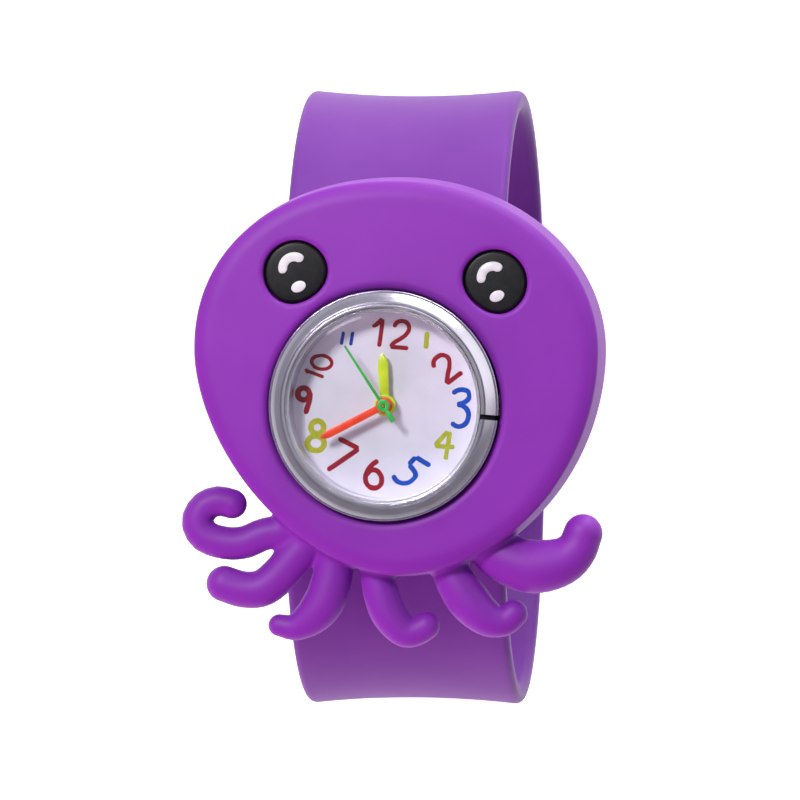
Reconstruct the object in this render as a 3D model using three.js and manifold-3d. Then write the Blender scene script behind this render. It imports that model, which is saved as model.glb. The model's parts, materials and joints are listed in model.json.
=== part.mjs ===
// A child's slap-band watch: a silicone octopus that carries a round quartz watch insert.
// Millimetres. The dial faces +Z, 12 o'clock lies along +Y and 3 o'clock along +X.
// The origin is the middle of the strap's inner face behind the dial, where it meets the wrist.

import * as THREE from 'three';
import { mergeVertices } from 'three/addons/utils/BufferGeometryUtils.js';
import Module from 'manifold-3d';

const wasm = await Module();
wasm.setup();

// Strap and its spring
const STRAP_WIDTH = 24;
const STRAP_THICKNESS = 2.4;
const STRAP_EDGE_RADIUS = 0.9;
const STRAP_FLAT = 12; // straight run behind the head
const STRAP_DISH = 0.7; // how far the two long edges curl outwards
const LOOP_RADIUS = 26.6; // of each curled arm, at half the thickness
const ARM_SEGMENTS = 5; // flexing lengths in each arm
const SEGMENT_GAP = 0.3;
const STRAP_END_GAP = 3; // between the two strap ends
const STRAP_END_CORNER = 7;
const SPRING_WIDTH = 20;
const SPRING_THICKNESS = 0.25;
const SLOT_CLEARANCE = 0.3;
const SLOT_END_WALL = 3;

// Octopus head
const HEAD_WIDTH = 44.6;
const HEAD_TOP = 24.6; // dial axis to the top of the head
const HEAD_CHIN = 18.7; // dial axis to the chin
const HEAD_BROW = 5.9; // dial axis up to the widest line
const HEAD_SHIFT = 1.15; // head's middle to the right of the dial axis
const HEAD_FULLNESS = { // outline's exponent in each quarter, 2 being an ellipse
  upper: { left: 2.17, right: 2 },
  lower: { left: 1.75, right: 1.95 },
};
const HEAD_LIFT = 1.4; // back of the head above the strap
const HEAD_THICKNESS = 8.4;
const HEAD_FRONT_EDGE = 3.2;
const HEAD_BACK_EDGE = 1.4;
const HEAD_CROWN = 0.5; // rise of the gently domed front
const NECK_LENGTH = 22;
const NECK_CORNER = 3;

// Eyes
const EYE_RADIUS = 3.4;
const EYE_SPACING = 21.45;
const EYE_HEIGHT = 13.75; // above the dial axis
const EYE_SLOPE = 1; // left eye above the right one
const EYE_FLAT = 0.12; // share of the radius lost on the side next to the dial
const EYE_DEPTH = 1.2;
const EYE_RECESS = 0.35; // inlay's face below the head
const EYE_CLEARANCE = 0.2;
const GLINT_DEPTH = 0.5;
const GLINT_CLEARANCE = 0.1;
const GLINT_BEAN_RADIUS = 0.48;
const GLINT_BEND = 1.23; // radius of the bean's middle line
const GLINT_BEND_AT = [-0.18, 0.5]; // centre of that bend from the eye's middle
const GLINT_BEND_FROM = 55; // degrees from 3 o'clock
const GLINT_BEND_TO = 192;
const GLINT_DOT_RADIUS = 0.81;
const GLINT_DOT_HEIGHT = 0.65;
const GLINT_DOT_AT = [0.28, -1.46];
const GLINT_DOT_TILT = 25;

// Octopus arms: where each leaves the head's outline (degrees), its route from there and its radius
const ARM_LEVEL = 0.42; // share of the head's thickness
const ARM_FLATNESS = 0.92; // height of an arm's section against its width
const ARM_ROOT_DEPTH = 3;
const OCTOPUS_ARMS = [
  {
    at: 234, root: 1.75, belly: 1.78, tip: 1.6,
    route: [
      [-2.6, -0.7], [-4.8, -1.6], [-7.0, -1.6], [-9.1, -0.8],
      [-9.8, 0.7], [-9.0, 2.3], [-7.5, 2.9], [-6.0, 2.6],
    ],
  },
  {
    at: 240, root: 2.0, belly: 2.05, tip: 1.95,
    route: [[-1.2, -1.5], [-3.2, -3.8], [-4.9, -5.0], [-6.9, -5.1], [-8.9, -4.5]],
  },
  {
    at: 249, root: 2.2, belly: 2.25, tip: 1.2,
    route: [[-0.4, -2.2], [-1.1, -4.3], [-2.6, -6.2], [-4.5, -7.3], [-6.1, -7.1]],
  },
  {
    at: 262, root: 1.65, belly: 1.95, tip: 1.5,
    route: [[0.6, -2.6], [1.4, -4.5], [3.1, -6.2], [4.5, -6.0], [5.3, -5.5]],
  },
  {
    at: 285, root: 1.85, belly: 2.3, tip: 1.5,
    route: [[1.0, -1.9], [2.6, -4.0], [4.4, -5.4], [5.9, -5.5], [6.9, -4.7]],
  },
  {
    at: 298, root: 2.2, belly: 2.9, tip: 2.1,
    route: [[2.0, -1.1], [4.2, -1.7], [7.5, -1.1], [9.0, 0.2], [9.7, 1.9]],
  },
];

// Watch insert, from the back cover up to the lens
const FIT = 0.3; // insert to its pocket
const SEAT = 0.05; // between pieces that are pressed or stacked together
const POCKET_WEB = 0.9; // silicone between the strap and the insert
const BACK_THICKNESS = 0.9;
const BACK_PLUG = 0.5;
const BACK_BEVEL = 0.3;
const GASKET_HEIGHT = 0.4;
const BACK_ROOM = 0.85; // back cover to the train bridge
const BRIDGE_THICKNESS = 0.5;
const TRAIN_ROOM = 2.05; // between bridge and plate
const PLATE_THICKNESS = 0.5;
const MOTION_ROOM = 0.7; // plate to dial
const DIAL_THICKNESS = 0.4;
const HANDS_ROOM = 3.4; // dial to lens
const LENS_THICKNESS = 1.3;
const LENS_BEVEL = 0.5;
const LENS_ROUNDING = 1.5; // how far in from its edge the lens turns down
const LENS_EDGE_DROP = 0.075;
const CASE_WALL = 0.9;
const CAN_RADIUS = 9.9; // the narrow lower part that holds the movement
const BEZEL_RADIUS = 12.4;
const BEZEL_RIM = 0.4; // height and step of the thin outer rim
const BEZEL_RIM_CHAMFER = 0.16;
const BEZEL_TOP_WIDTH = 0.8; // flat ring round the lens
const SHOULDER_THICKNESS = 0.45; // ledge under the dial
const BEZEL_DROP = 1.6; // lens top to rim
const LENS_RADIUS = 10.5;
const BEZEL_SLOT_WIDTH = 0.6;
const BEZEL_SLOT_DEPTH = 0.8;
const BEZEL_SLOT_TURN = -6; // degrees from 3 o'clock
const SPACER_WALL = 0.35;
const POCKET_LIP = 1.3; // rounding of the pocket's mouth

// Movement
const MOVEMENT_PLAY = 0.3;
const PILLAR_RADIUS = 0.55;
const PILLAR_EDGE = 0.9; // pillar's axis in from the movement's rim
const PILLAR_BEARINGS = [36, -45, 150];
const ARBOR_RADIUS = 0.15;
const PIVOT_PLAY = 0.1;
const WHEEL_THICKNESS = 0.2;
const WHEEL_LANE = 0.45; // from one wheel's level up to the next
const BRIDGE_CLEARANCE = 0.2; // bridge to the lowest wheel
const MOTION_CLEARANCE = 0.08; // plate to minute wheel, and from there to the hour wheel
const PINION_HEIGHT = 0.3;
const TUBE_WALL = 0.17;
const TUBE_PLAY = 0.09;
const BATTERY_RADIUS = 2.9;
const BATTERY_HEIGHT = 2.15;
const BATTERY_BEVEL = 0.2;
const BATTERY_CAP_INSET = 0.6;
const BATTERY_EDGE = 0.4; // battery's side to the can
const CLIP_THICKNESS = 0.15;
const CLIP_WIDTH = 1.6;

// Tooth counts and arbor distances of the going train and of the motion work
const ROTOR_TEETH = 6;
const INTERMEDIATE_TEETH = 36;
const INTERMEDIATE_LEAVES = 6;
const SECOND_TEETH = 30;
const SECOND_LEAVES = 6;
const THIRD_TEETH = 45;
const THIRD_LEAVES = 6;
const CENTRE_TEETH = 48;
const CANNON_LEAVES = 8;
const MINUTE_TEETH = 24;
const MINUTE_LEAVES = 8;
const HOUR_TEETH = 32;
const ADDENDUM = 0.7; // in modules
const DEDENDUM = 1.2;
const TOOTH_TIP = 0.06; // half a tooth's tip, in pitches
const ROTOR_DISTANCE = 2.52; // rotor to intermediate wheel
const INTERMEDIATE_DISTANCE = 2.7; // to the dial axis
const THIRD_DISTANCE = 2.9;
const MINUTE_DISTANCE = 4.16;
const INTERMEDIATE_BEARING = 60; // degrees from 3 o'clock
const THIRD_BEARING = -60;
const MINUTE_BEARING = -40;
const ROTOR_BEARING = 60;
const MAGNET_RADIUS = 0.7;
const MAGNET_HEIGHT = 0.6;
const MAGNET_DROP = 0.25; // foot of the magnet and of the stator below the second wheel
const STATOR_GAP = 0.2;
const STATOR_THICKNESS = 0.3;
const STATOR_RING = 0.35; // web round the rotor
const STATOR_FOOT = 0.96;
const COIL_RADIUS = 0.85;
const COIL_LENGTH = 5.2;
const COIL_END = 1.2; // bare core at each end
const COIL_CORE = 0.3;
const COIL_FLANGE = 0.35;
const COIL_FLANGE_RISE = 0.15;
const COIL_SIDE = -1.4; // coil's middle from the dial axis
const COIL_RISE = 1.68; // rotor's axis up to the coil's axis
const BOARD_THICKNESS = 0.4;
const BOARD_WIDTH = 3.4;
const BOARD_FROM = 215; // degrees from 3 o'clock
const BOARD_TO = 282;
const CRYSTAL_RADIUS = 0.65;
const CRYSTAL_LENGTH = 4.4;
const CRYSTAL_EDGE = 1.45; // crystal's side in from the movement's rim

// Hands and setting
const HAND_THICKNESS = 0.22;
const HAND_STEP = 0.9; // from one hand up to the next
const HOUR_LENGTH = 5.6;
const HOUR_WIDTH = 1.3;
const MINUTE_LENGTH = 7.7;
const MINUTE_WIDTH = 0.85;
const SECOND_LENGTH = 7.7;
const SECOND_WIDTH = 0.34;
const SECOND_TIP_WIDTH = 0.24;
const SECOND_TAIL = 2;
const SECOND_TAIL_WIDTH = 0.6;
const HUB_WALL = 0.32;
const SECOND_HUB_WALL = 0.48;
const HOUR_ANGLE = 357; // degrees clockwise from 12
const MINUTE_ANGLE = 243;
const SECOND_ANGLE = 327;
const STEM_RADIUS = 0.4;
const STEM_REACH = 5.2; // inner end of the stem from the can's outer wall
const STEM_DROP = 0.1; // stem's axis below the middle of the train's room
const GROOVE_INSET = 1; // groove's middle from the inner end
const GROOVE_RADIUS = 0.2;
const CROWN_RADIUS = 1.5;
const CROWN_LENGTH = 2;
const CROWN_RIBS = 16;
const CROWN_PULL = 1;
const CROWN_RIB_DEPTH = 0.14;
const LEVER_THICKNESS = 0.4;
const LEVER_HALF_WIDTH = 1.6;
const LEVER_PRONG = 0.8; // prongs below the stem's axis

// Places worked out from the sizes above
const strapHalf = STRAP_THICKNESS / 2;
const flatHalf = STRAP_FLAT / 2;
const segmentAngle = Math.PI / ARM_SEGMENTS;
const armEnd = flatHalf + Math.PI * LOOP_RADIUS + flatHalf - STRAP_END_GAP / 2;
const headBack = STRAP_THICKNESS + HEAD_LIFT;
const headFront = headBack + HEAD_THICKNESS;
const headCentre = new THREE.Vector2(HEAD_SHIFT, HEAD_BROW);
const backZ = STRAP_THICKNESS + POCKET_WEB + FIT;
const backTop = backZ + BACK_THICKNESS;
const canZ = backTop + GASKET_HEIGHT + 2 * SEAT;
const bridgeZ = backTop + BACK_ROOM;
const bridgeTop = bridgeZ + BRIDGE_THICKNESS;
const plateZ = bridgeTop + TRAIN_ROOM;
const plateTop = plateZ + PLATE_THICKNESS;
const dialZ = plateTop + MOTION_ROOM;
const dialTop = dialZ + DIAL_THICKNESS;
const shoulderZ = dialZ - SEAT - SHOULDER_THICKNESS;
const lensZ = dialTop + HANDS_ROOM;
const lensTop = lensZ + LENS_THICKNESS;
const rimZ = lensTop - BEZEL_DROP - BEZEL_RIM;
const canInner = CAN_RADIUS - CASE_WALL;
const movementRadius = canInner - MOVEMENT_PLAY;
const batteryOffset = canInner - BATTERY_EDGE - BATTERY_RADIUS;
const barrelRadius = BEZEL_RADIUS - BEZEL_RIM;
const dialRadius = LENS_RADIUS - SEAT;
const stemZ = (bridgeTop + plateZ) / 2 - STEM_DROP;
const hourHandZ = dialTop + HAND_STEP;
const minuteHandZ = hourHandZ + HAND_STEP;
const secondHandZ = minuteHandZ + HAND_STEP;

// Levels of the wheels between bridge and plate, and between plate and dial
const thirdWheelZ = bridgeTop + BRIDGE_CLEARANCE;
const secondWheelZ = thirdWheelZ + WHEEL_LANE;
const magnetZ = secondWheelZ - MAGNET_DROP;
const intermediateWheelZ = secondWheelZ + WHEEL_LANE;
const centreWheelZ = intermediateWheelZ + WHEEL_LANE;
const minuteWheelZ = plateTop + MOTION_CLEARANCE;
const hourWheelZ = minuteWheelZ + WHEEL_THICKNESS + MOTION_CLEARANCE;

// Nested tubes on the dial axis
const centreTubeInner = ARBOR_RADIUS + TUBE_PLAY;
const centreTubeOuter = centreTubeInner + TUBE_WALL;
const cannonBore = centreTubeOuter + TUBE_PLAY;
const cannonInner = ARBOR_RADIUS + TUBE_PLAY;
const cannonOuter = cannonInner + TUBE_WALL + TUBE_PLAY;
const hourTubeInner = cannonOuter + TUBE_PLAY;
const hourTubeOuter = hourTubeInner + TUBE_WALL + TUBE_PLAY;

const radians = THREE.MathUtils.degToRad;
const weldTolerance = 1e-4;

function bearing(distance, degrees) {
  const angle = radians(degrees);
  return new THREE.Vector2(distance * Math.cos(angle), distance * Math.sin(angle));
}

const intermediateAt = bearing(INTERMEDIATE_DISTANCE, INTERMEDIATE_BEARING);
const rotorAt = intermediateAt.clone().add(bearing(ROTOR_DISTANCE, ROTOR_BEARING));
const thirdAt = bearing(THIRD_DISTANCE, THIRD_BEARING);
const minuteAt = bearing(MINUTE_DISTANCE, MINUTE_BEARING);
const coilAt = new THREE.Vector2(COIL_SIDE, rotorAt.y + COIL_RISE);
const origin2 = new THREE.Vector2();

// Welds a geometry's shared points, drops collapsed triangles and turns every face outwards.
function weld(geometry) {
  const bare = geometry.clone();
  for (const name of Object.keys(bare.attributes)) {
    if (name !== 'position') bare.deleteAttribute(name);
  }
  const merged = mergeVertices(bare, weldTolerance);
  const p = merged.attributes.position;
  const index = [];
  const corner = [new THREE.Vector3(), new THREE.Vector3(), new THREE.Vector3()];
  let volume = 0;
  for (let i = 0; i < merged.index.count; i += 3) {
    const face = [0, 1, 2].map((k) => merged.index.getX(i + k));
    if (new Set(face).size < 3) continue;
    face.forEach((v, k) => corner[k].fromBufferAttribute(p, v));
    volume += corner[0].dot(corner[1].clone().cross(corner[2]));
    index.push(...face);
  }
  merged.setIndex(volume < 0 ? index.reverse() : index);
  return merged;
}

function solid(geometry) {
  const welded = weld(geometry);
  const vertProperties = new Float32Array(welded.attributes.position.array);
  const triVerts = new Uint32Array(welded.index.array);
  return new wasm.Manifold(new wasm.Mesh({ numProp: 3, vertProperties, triVerts }));
}

function geometryOf(manifold) {
  const mesh = manifold.getMesh();
  const geometry = new THREE.BufferGeometry();
  geometry.setAttribute('position', new THREE.BufferAttribute(mesh.vertProperties, 3));
  geometry.setIndex(new THREE.BufferAttribute(mesh.triVerts, 1));
  return geometry;
}

function join(...geometries) {
  return geometries.map(solid).reduce((whole, piece) => whole.add(piece));
}

// A skin through equal rings of points, closed at both ends by the rings' flat outline.
function loft(rings, outline) {
  const count = outline.length;
  const points = rings.flat();
  const index = [];
  for (let r = 0; r + 1 < rings.length; r++) {
    for (let i = 0; i < count; i++) {
      const a = r * count + i;
      const b = r * count + ((i + 1) % count);
      index.push(a, b, b + count, a, b + count, a + count);
    }
  }
  const last = (rings.length - 1) * count;
  for (const [a, b, c] of THREE.ShapeUtils.triangulateShape(outline, [])) {
    index.push(c, b, a, last + a, last + b, last + c);
  }
  return weld(new THREE.BufferGeometry().setFromPoints(points).setIndex(index));
}

// A body turned about an upright axis from [radius, height] pairs.
function turned(profile, segments = 32, at = origin2) {
  const points = profile.map(([r, z]) => new THREE.Vector2(r, z));
  if (points[0].x > 0) points.push(points[0].clone());
  const geometry = new THREE.LatheGeometry(points, segments);
  return geometry.rotateX(Math.PI / 2).translate(at.x, at.y, 0);
}

function rod(radius, from, to, at = origin2, segments = 8) {
  return turned([[0, from], [radius, from], [radius, to], [0, to]], segments, at);
}

function tube(inner, outer, from, to, segments = 12) {
  return turned([[inner, from], [outer, from], [outer, to], [inner, to]], segments);
}

function slab(shape, from, height, curveSegments = 6) {
  const settings = { depth: height, bevelEnabled: false, curveSegments };
  return new THREE.ExtrudeGeometry(shape, settings).translate(0, 0, from);
}

function box(sizeX, sizeY, from, to, at = origin2) {
  return new THREE.BoxGeometry(sizeX, sizeY, to - from).translate(at.x, at.y, (from + to) / 2);
}

// Lays a body that was turned about the upright axis along the winding stem's axis.
function alongX(geometry) {
  return geometry.rotateY(Math.PI / 2).translate(0, 0, stemZ);
}

function circlePoints(radius, count, at = origin2) {
  return spaced(0, 2 * Math.PI, count).slice(0, count).map((angle) => (
    new THREE.Vector2(at.x + radius * Math.cos(angle), at.y + radius * Math.sin(angle))
  ));
}

function roundHole(radius, at = origin2, count = 8) {
  return new THREE.Path(circlePoints(radius, count, at));
}

// Outline of a strip's section: x across the width, y through the thickness.
function stripOutline(width, thickness, corner = 0) {
  const flat = width / 2 - corner;
  const rise = thickness / 2 - corner;
  const cornerSteps = corner > 0 ? 2 : 0;
  const faceSteps = 3;
  const points = [];
  for (let quarter = 0; quarter < 4; quarter++) {
    const sideX = quarter === 0 || quarter === 3 ? 1 : -1;
    const sideY = quarter < 2 ? 1 : -1;
    for (let i = 0; i <= cornerSteps; i++) {
      const angle = (quarter + i / Math.max(cornerSteps, 1)) * Math.PI / 2;
      const x = sideX * flat + corner * Math.cos(angle);
      points.push(new THREE.Vector2(x, sideY * rise + corner * Math.sin(angle)));
    }
    for (let i = 1; i < faceSteps && quarter % 2 === 0; i++) {
      points.push(new THREE.Vector2(sideX * flat * (1 - 2 * i / faceSteps), sideY * thickness / 2));
    }
  }
  return points;
}

// The strap's middle line: a straight run behind the head, a half circle, then straight to the end.
function strapLine(along) {
  const angle = THREE.MathUtils.clamp((along - flatHalf) / LOOP_RADIUS, 0, Math.PI);
  const before = Math.min(along, flatHalf);
  const after = Math.max(along - flatHalf - Math.PI * LOOP_RADIUS, 0);
  return {
    y: before + LOOP_RADIUS * Math.sin(angle) - after,
    z: strapHalf - LOOP_RADIUS * (1 - Math.cos(angle)),
    angle,
  };
}

// One section of the strap at a distance along it; side is 1 towards 12 o'clock and -1 towards 6.
function strapRing(outline, along, side) {
  const line = strapLine(Math.abs(along));
  const dish = STRAP_DISH * THREE.MathUtils.smoothstep(line.angle, 0, segmentAngle / 2);
  const fromEnd = Math.max(armEnd - Math.abs(along), 0);
  const corner = STRAP_END_CORNER;
  const inset = fromEnd < corner ? corner - Math.sqrt(corner ** 2 - (corner - fromEnd) ** 2) : 0;
  const narrowing = 1 - inset / (STRAP_WIDTH / 2);
  return outline.map((p) => {
    const out = p.y + dish * (p.x / (STRAP_WIDTH / 2)) ** 2;
    const y = line.y + out * Math.sin(line.angle);
    return new THREE.Vector3(p.x * narrowing, side * y, line.z + out * Math.cos(line.angle));
  });
}

function strapLoft(outline, stations, side) {
  return loft(stations.map((along) => strapRing(outline, along, side)), outline);
}

function spaced(from, to, steps) {
  return Array.from({ length: steps + 1 }, (_, i) => from + (to - from) * i / steps);
}

const sleeveOutline = stripOutline(STRAP_WIDTH, STRAP_THICKNESS, STRAP_EDGE_RADIUS);
const slotOutline = stripOutline(SPRING_WIDTH + 2 * SLOT_CLEARANCE, SPRING_THICKNESS + 2 * SLOT_CLEARANCE);
const springOutline = stripOutline(SPRING_WIDTH, SPRING_THICKNESS);

// Where flexing length number k of an arm starts and ends along the strap.
function segmentSpan(k) {
  const from = flatHalf + LOOP_RADIUS * (k - 0.5) * segmentAngle + SEGMENT_GAP / 2;
  const to = flatHalf + LOOP_RADIUS * (k + 0.5) * segmentAngle - SEGMENT_GAP / 2;
  return [from, k === ARM_SEGMENTS ? armEnd : to];
}

function segmentStations(k, from, to) {
  if (k < ARM_SEGMENTS) return spaced(from, to, 3);
  const roundFrom = armEnd - STRAP_END_CORNER;
  const roundShares = [0.4, 0.7, 0.9, 1];
  const roundEnd = roundShares.map((share) => roundFrom + share * (to - roundFrom));
  return [...spaced(from, roundFrom, 3), ...roundEnd];
}

function strapSegment(k, side) {
  const [from, to] = segmentSpan(k);
  const sleeve = strapLoft(sleeveOutline, segmentStations(k, from, to), side);
  const slotTo = k === ARM_SEGMENTS ? to - SLOT_END_WALL : to + SEGMENT_GAP;
  const slot = strapLoft(slotOutline, spaced(from - SEGMENT_GAP, slotTo, 3), side);
  return geometryOf(solid(sleeve).subtract(solid(slot)));
}

function springSegment(k, side) {
  const [from, to] = segmentSpan(k);
  const end = k === ARM_SEGMENTS ? to - SLOT_END_WALL - SLOT_CLEARANCE : to;
  return strapLoft(springOutline, spaced(from, end, 3), side);
}

// The middle of the strap runs under the head from the first flexing line to the other one.
function middleStations(reach) {
  const bend = spaced(flatHalf, reach, 2);
  return [...bend.map((s) => -s).reverse(), ...bend];
}

function middleLoft(outline, reach) {
  const rings = middleStations(reach).map((s) => strapRing(outline, s, Math.sign(s)));
  return loft(rings, outline);
}

const middleReach = segmentSpan(1)[0] - SEGMENT_GAP;

function bulged(share, fullness) {
  return Math.sign(share) * Math.abs(share) ** (2 / fullness);
}

// Point on the head's egg-shaped outline, with the angle taken about the head's own middle.
function headPoint(angle) {
  const side = Math.cos(angle);
  const rise = Math.sin(angle);
  const height = rise > 0 ? HEAD_TOP - HEAD_BROW : HEAD_CHIN + HEAD_BROW;
  const { left, right } = rise > 0 ? HEAD_FULLNESS.upper : HEAD_FULLNESS.lower;
  const fullness = side > 0 ? right : left;
  const across = HEAD_WIDTH / 2 * bulged(side, fullness);
  return new THREE.Vector2(headCentre.x + across, headCentre.y + height * bulged(rise, fullness));
}

function headPlate() {
  const count = 40;
  const outline = spaced(0, 2 * Math.PI, count).slice(0, count).map(headPoint);
  const levels = [];
  for (const turn of [0, 45, 90].map(radians)) {
    const inset = HEAD_BACK_EDGE * (1 - Math.sin(turn));
    levels.push({ inset, z: headBack + HEAD_BACK_EDGE * (1 - Math.cos(turn)) });
  }
  const shoulder = headFront - HEAD_CROWN - HEAD_FRONT_EDGE;
  for (const turn of [0, 22, 45, 67, 88].map(radians)) {
    const inset = HEAD_FRONT_EDGE * (1 - Math.cos(turn));
    levels.push({ inset, z: shoulder + HEAD_FRONT_EDGE * Math.sin(turn) });
  }
  const rings = levels.map(({ inset, z }) => outline.map((p) => {
    const inward = p.clone().sub(headCentre).normalize().multiplyScalar(-inset);
    return new THREE.Vector3(p.x + inward.x, p.y + inward.y, z);
  }));
  const brow = rings.at(-1);
  for (const share of [0.75, 0.45]) {
    rings.push(brow.map((p) => {
      const flat = new THREE.Vector2(p.x, p.y).multiplyScalar(share);
      const rise = HEAD_CROWN * (1 - share ** 2);
      return new THREE.Vector3(flat.x, flat.y, p.z + rise);
    }));
  }
  return loft(rings, outline);
}

// A tapering octopus arm that leaves the chin and ends in a round tip.
function octopusArm({ at, root, belly, tip, route }) {
  const start = headPoint(radians(at));
  const inward = headCentre.clone().sub(start).normalize().multiplyScalar(ARM_ROOT_DEPTH);
  const level = headBack + ARM_LEVEL * HEAD_THICKNESS;
  const knots = [inward, origin2, ...route.map(([x, y]) => new THREE.Vector2(x, y))];
  const curve = new THREE.CatmullRomCurve3(
    knots.map((p) => new THREE.Vector3(start.x + p.x, start.y + p.y, level)),
    false,
    'centripetal',
  );
  const sides = 8;
  const steps = 2 * route.length - 1;
  const stations = spaced(0, 1, steps).map((t) => ({ t, ahead: 0, shrink: 1 }));
  for (const turn of [38, 70].map(radians)) {
    stations.push({ t: 1, ahead: tip * Math.sin(turn), shrink: Math.cos(turn) });
  }
  const section = spaced(0, 2 * Math.PI, sides).slice(0, sides);
  const rings = stations.map(({ t, ahead, shrink }) => {
    const along = curve.getTangentAt(t);
    const middle = curve.getPointAt(t).addScaledVector(along, ahead);
    const swell = Math.sin(Math.PI * t) ** 2;
    const radius = shrink * (THREE.MathUtils.lerp(root, tip, t) * (1 - swell) + belly * swell);
    return section.map((angle) => new THREE.Vector3(
      middle.x - along.y * radius * Math.cos(angle),
      middle.y + along.x * radius * Math.cos(angle),
      middle.z + ARM_FLATNESS * radius * Math.sin(angle),
    ));
  });
  return loft(rings, section.map((angle) => new THREE.Vector2(Math.cos(angle), Math.sin(angle))));
}

// The neck joins the strap to the back of the head.
function neck() {
  const half = SPRING_WIDTH / 2 + SLOT_CLEARANCE;
  const reach = NECK_LENGTH / 2;
  const corner = NECK_CORNER;
  const shape = new THREE.Shape();
  shape.absarc(half - corner, reach - corner, corner, 0, Math.PI / 2);
  shape.absarc(corner - half, reach - corner, corner, Math.PI / 2, Math.PI);
  shape.absarc(corner - half, corner - reach, corner, Math.PI, 1.5 * Math.PI);
  shape.absarc(half - corner, corner - reach, corner, 1.5 * Math.PI, 2 * Math.PI);
  const from = strapHalf + SPRING_THICKNESS / 2 + 2 * SLOT_CLEARANCE;
  return slab(shape, from, headBack + HEAD_BACK_EDGE - from, 2);
}

// The stepped pocket with its rounded mouth.
function insertPocket() {
  const low = CAN_RADIUS + FIT;
  const high = BEZEL_RADIUS + FIT;
  const step = shoulderZ - FIT;
  const mouth = headFront - POCKET_LIP;
  const profile = [[0, backZ - FIT], [low, backZ - FIT], [low, step], [high, step], [high, mouth]];
  for (const turn of [30, 60, 90].map(radians)) {
    profile.push([high + POCKET_LIP * (1 - Math.cos(turn)), mouth + POCKET_LIP * Math.sin(turn)]);
  }
  profile.push([high + POCKET_LIP, headFront + POCKET_LIP], [0, headFront + POCKET_LIP]);
  return turned(profile);
}

// Room for the crown, with space to pull it out.
function crownNotch() {
  const reach = CAN_RADIUS + SEAT + FIT + CROWN_LENGTH + CROWN_PULL + FIT;
  const half = CROWN_RADIUS + FIT;
  const from = canInner;
  const middle = new THREE.Vector2((from + reach) / 2, 0);
  return box(reach - from, 2 * half, stemZ - half, shoulderZ, middle);
}

function eyePlace(side) {
  return new THREE.Vector2(headCentre.x + side * EYE_SPACING / 2, EYE_HEIGHT - side * EYE_SLOPE / 2);
}

// An eye is round, but flatter on the side that faces the dial.
function eyeShape(side, extra) {
  const middle = eyePlace(side);
  const towardsDial = Math.atan2(-middle.y, -middle.x);
  const count = 24;
  const points = spaced(0, 2 * Math.PI, count).slice(0, count).map((angle) => {
    const facing = Math.max(0, Math.cos(angle - towardsDial));
    const radius = EYE_RADIUS * (1 - EYE_FLAT * facing ** 3) + extra;
    return new THREE.Vector2(middle.x + radius * Math.cos(angle), middle.y + radius * Math.sin(angle));
  });
  return new THREE.Shape(points);
}

const eyeFace = headFront - HEAD_CROWN - EYE_RECESS;
const eyeFloor = eyeFace - EYE_DEPTH;

function eyeSocket(side) {
  return slab(eyeShape(side, EYE_CLEARANCE), eyeFloor - EYE_CLEARANCE, HEAD_THICKNESS);
}

// Glints are white inlays: a bent bean over a small oval dot.
function beanShape(side, extra) {
  const [right, up] = GLINT_BEND_AT;
  const centre = eyePlace(side).add(new THREE.Vector2(right, up));
  const radius = GLINT_BEAN_RADIUS + extra;
  const from = radians(GLINT_BEND_FROM);
  const to = radians(GLINT_BEND_TO);
  const first = centre.clone().add(bearing(GLINT_BEND, GLINT_BEND_FROM));
  const last = centre.clone().add(bearing(GLINT_BEND, GLINT_BEND_TO));
  const shape = new THREE.Shape();
  shape.absarc(centre.x, centre.y, GLINT_BEND + radius, from, to, false);
  shape.absarc(last.x, last.y, radius, to, to + Math.PI, false);
  shape.absarc(centre.x, centre.y, GLINT_BEND - radius, to, from, true);
  shape.absarc(first.x, first.y, radius, from + Math.PI, from + 2 * Math.PI, false);
  return shape;
}

function dotShape(side, extra) {
  const [right, up] = GLINT_DOT_AT;
  const at = eyePlace(side).add(new THREE.Vector2(right, up));
  const across = GLINT_DOT_RADIUS + extra;
  const high = GLINT_DOT_HEIGHT + extra;
  const shape = new THREE.Shape();
  shape.absellipse(at.x, at.y, across, high, 0, 2 * Math.PI, false, radians(GLINT_DOT_TILT));
  return shape;
}

const glintFloor = eyeFace - GLINT_DEPTH;

function eye(side) {
  let body = solid(slab(eyeShape(side, 0), eyeFloor, EYE_DEPTH));
  for (const shape of [beanShape, dotShape]) {
    const cut = slab(shape(side, GLINT_CLEARANCE), glintFloor - GLINT_CLEARANCE, EYE_DEPTH, 3);
    body = body.subtract(solid(cut));
  }
  return geometryOf(body);
}

function octopusBody() {
  const strapMiddle = middleLoft(sleeveOutline, middleReach);
  let body = join(headPlate(), neck(), strapMiddle, ...OCTOPUS_ARMS.map(octopusArm));
  const cuts = [insertPocket(), crownNotch(), eyeSocket(-1), eyeSocket(1)];
  cuts.push(middleLoft(slotOutline, middleReach + SEGMENT_GAP));
  for (const cut of cuts) body = body.subtract(solid(cut));
  return geometryOf(body);
}

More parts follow.
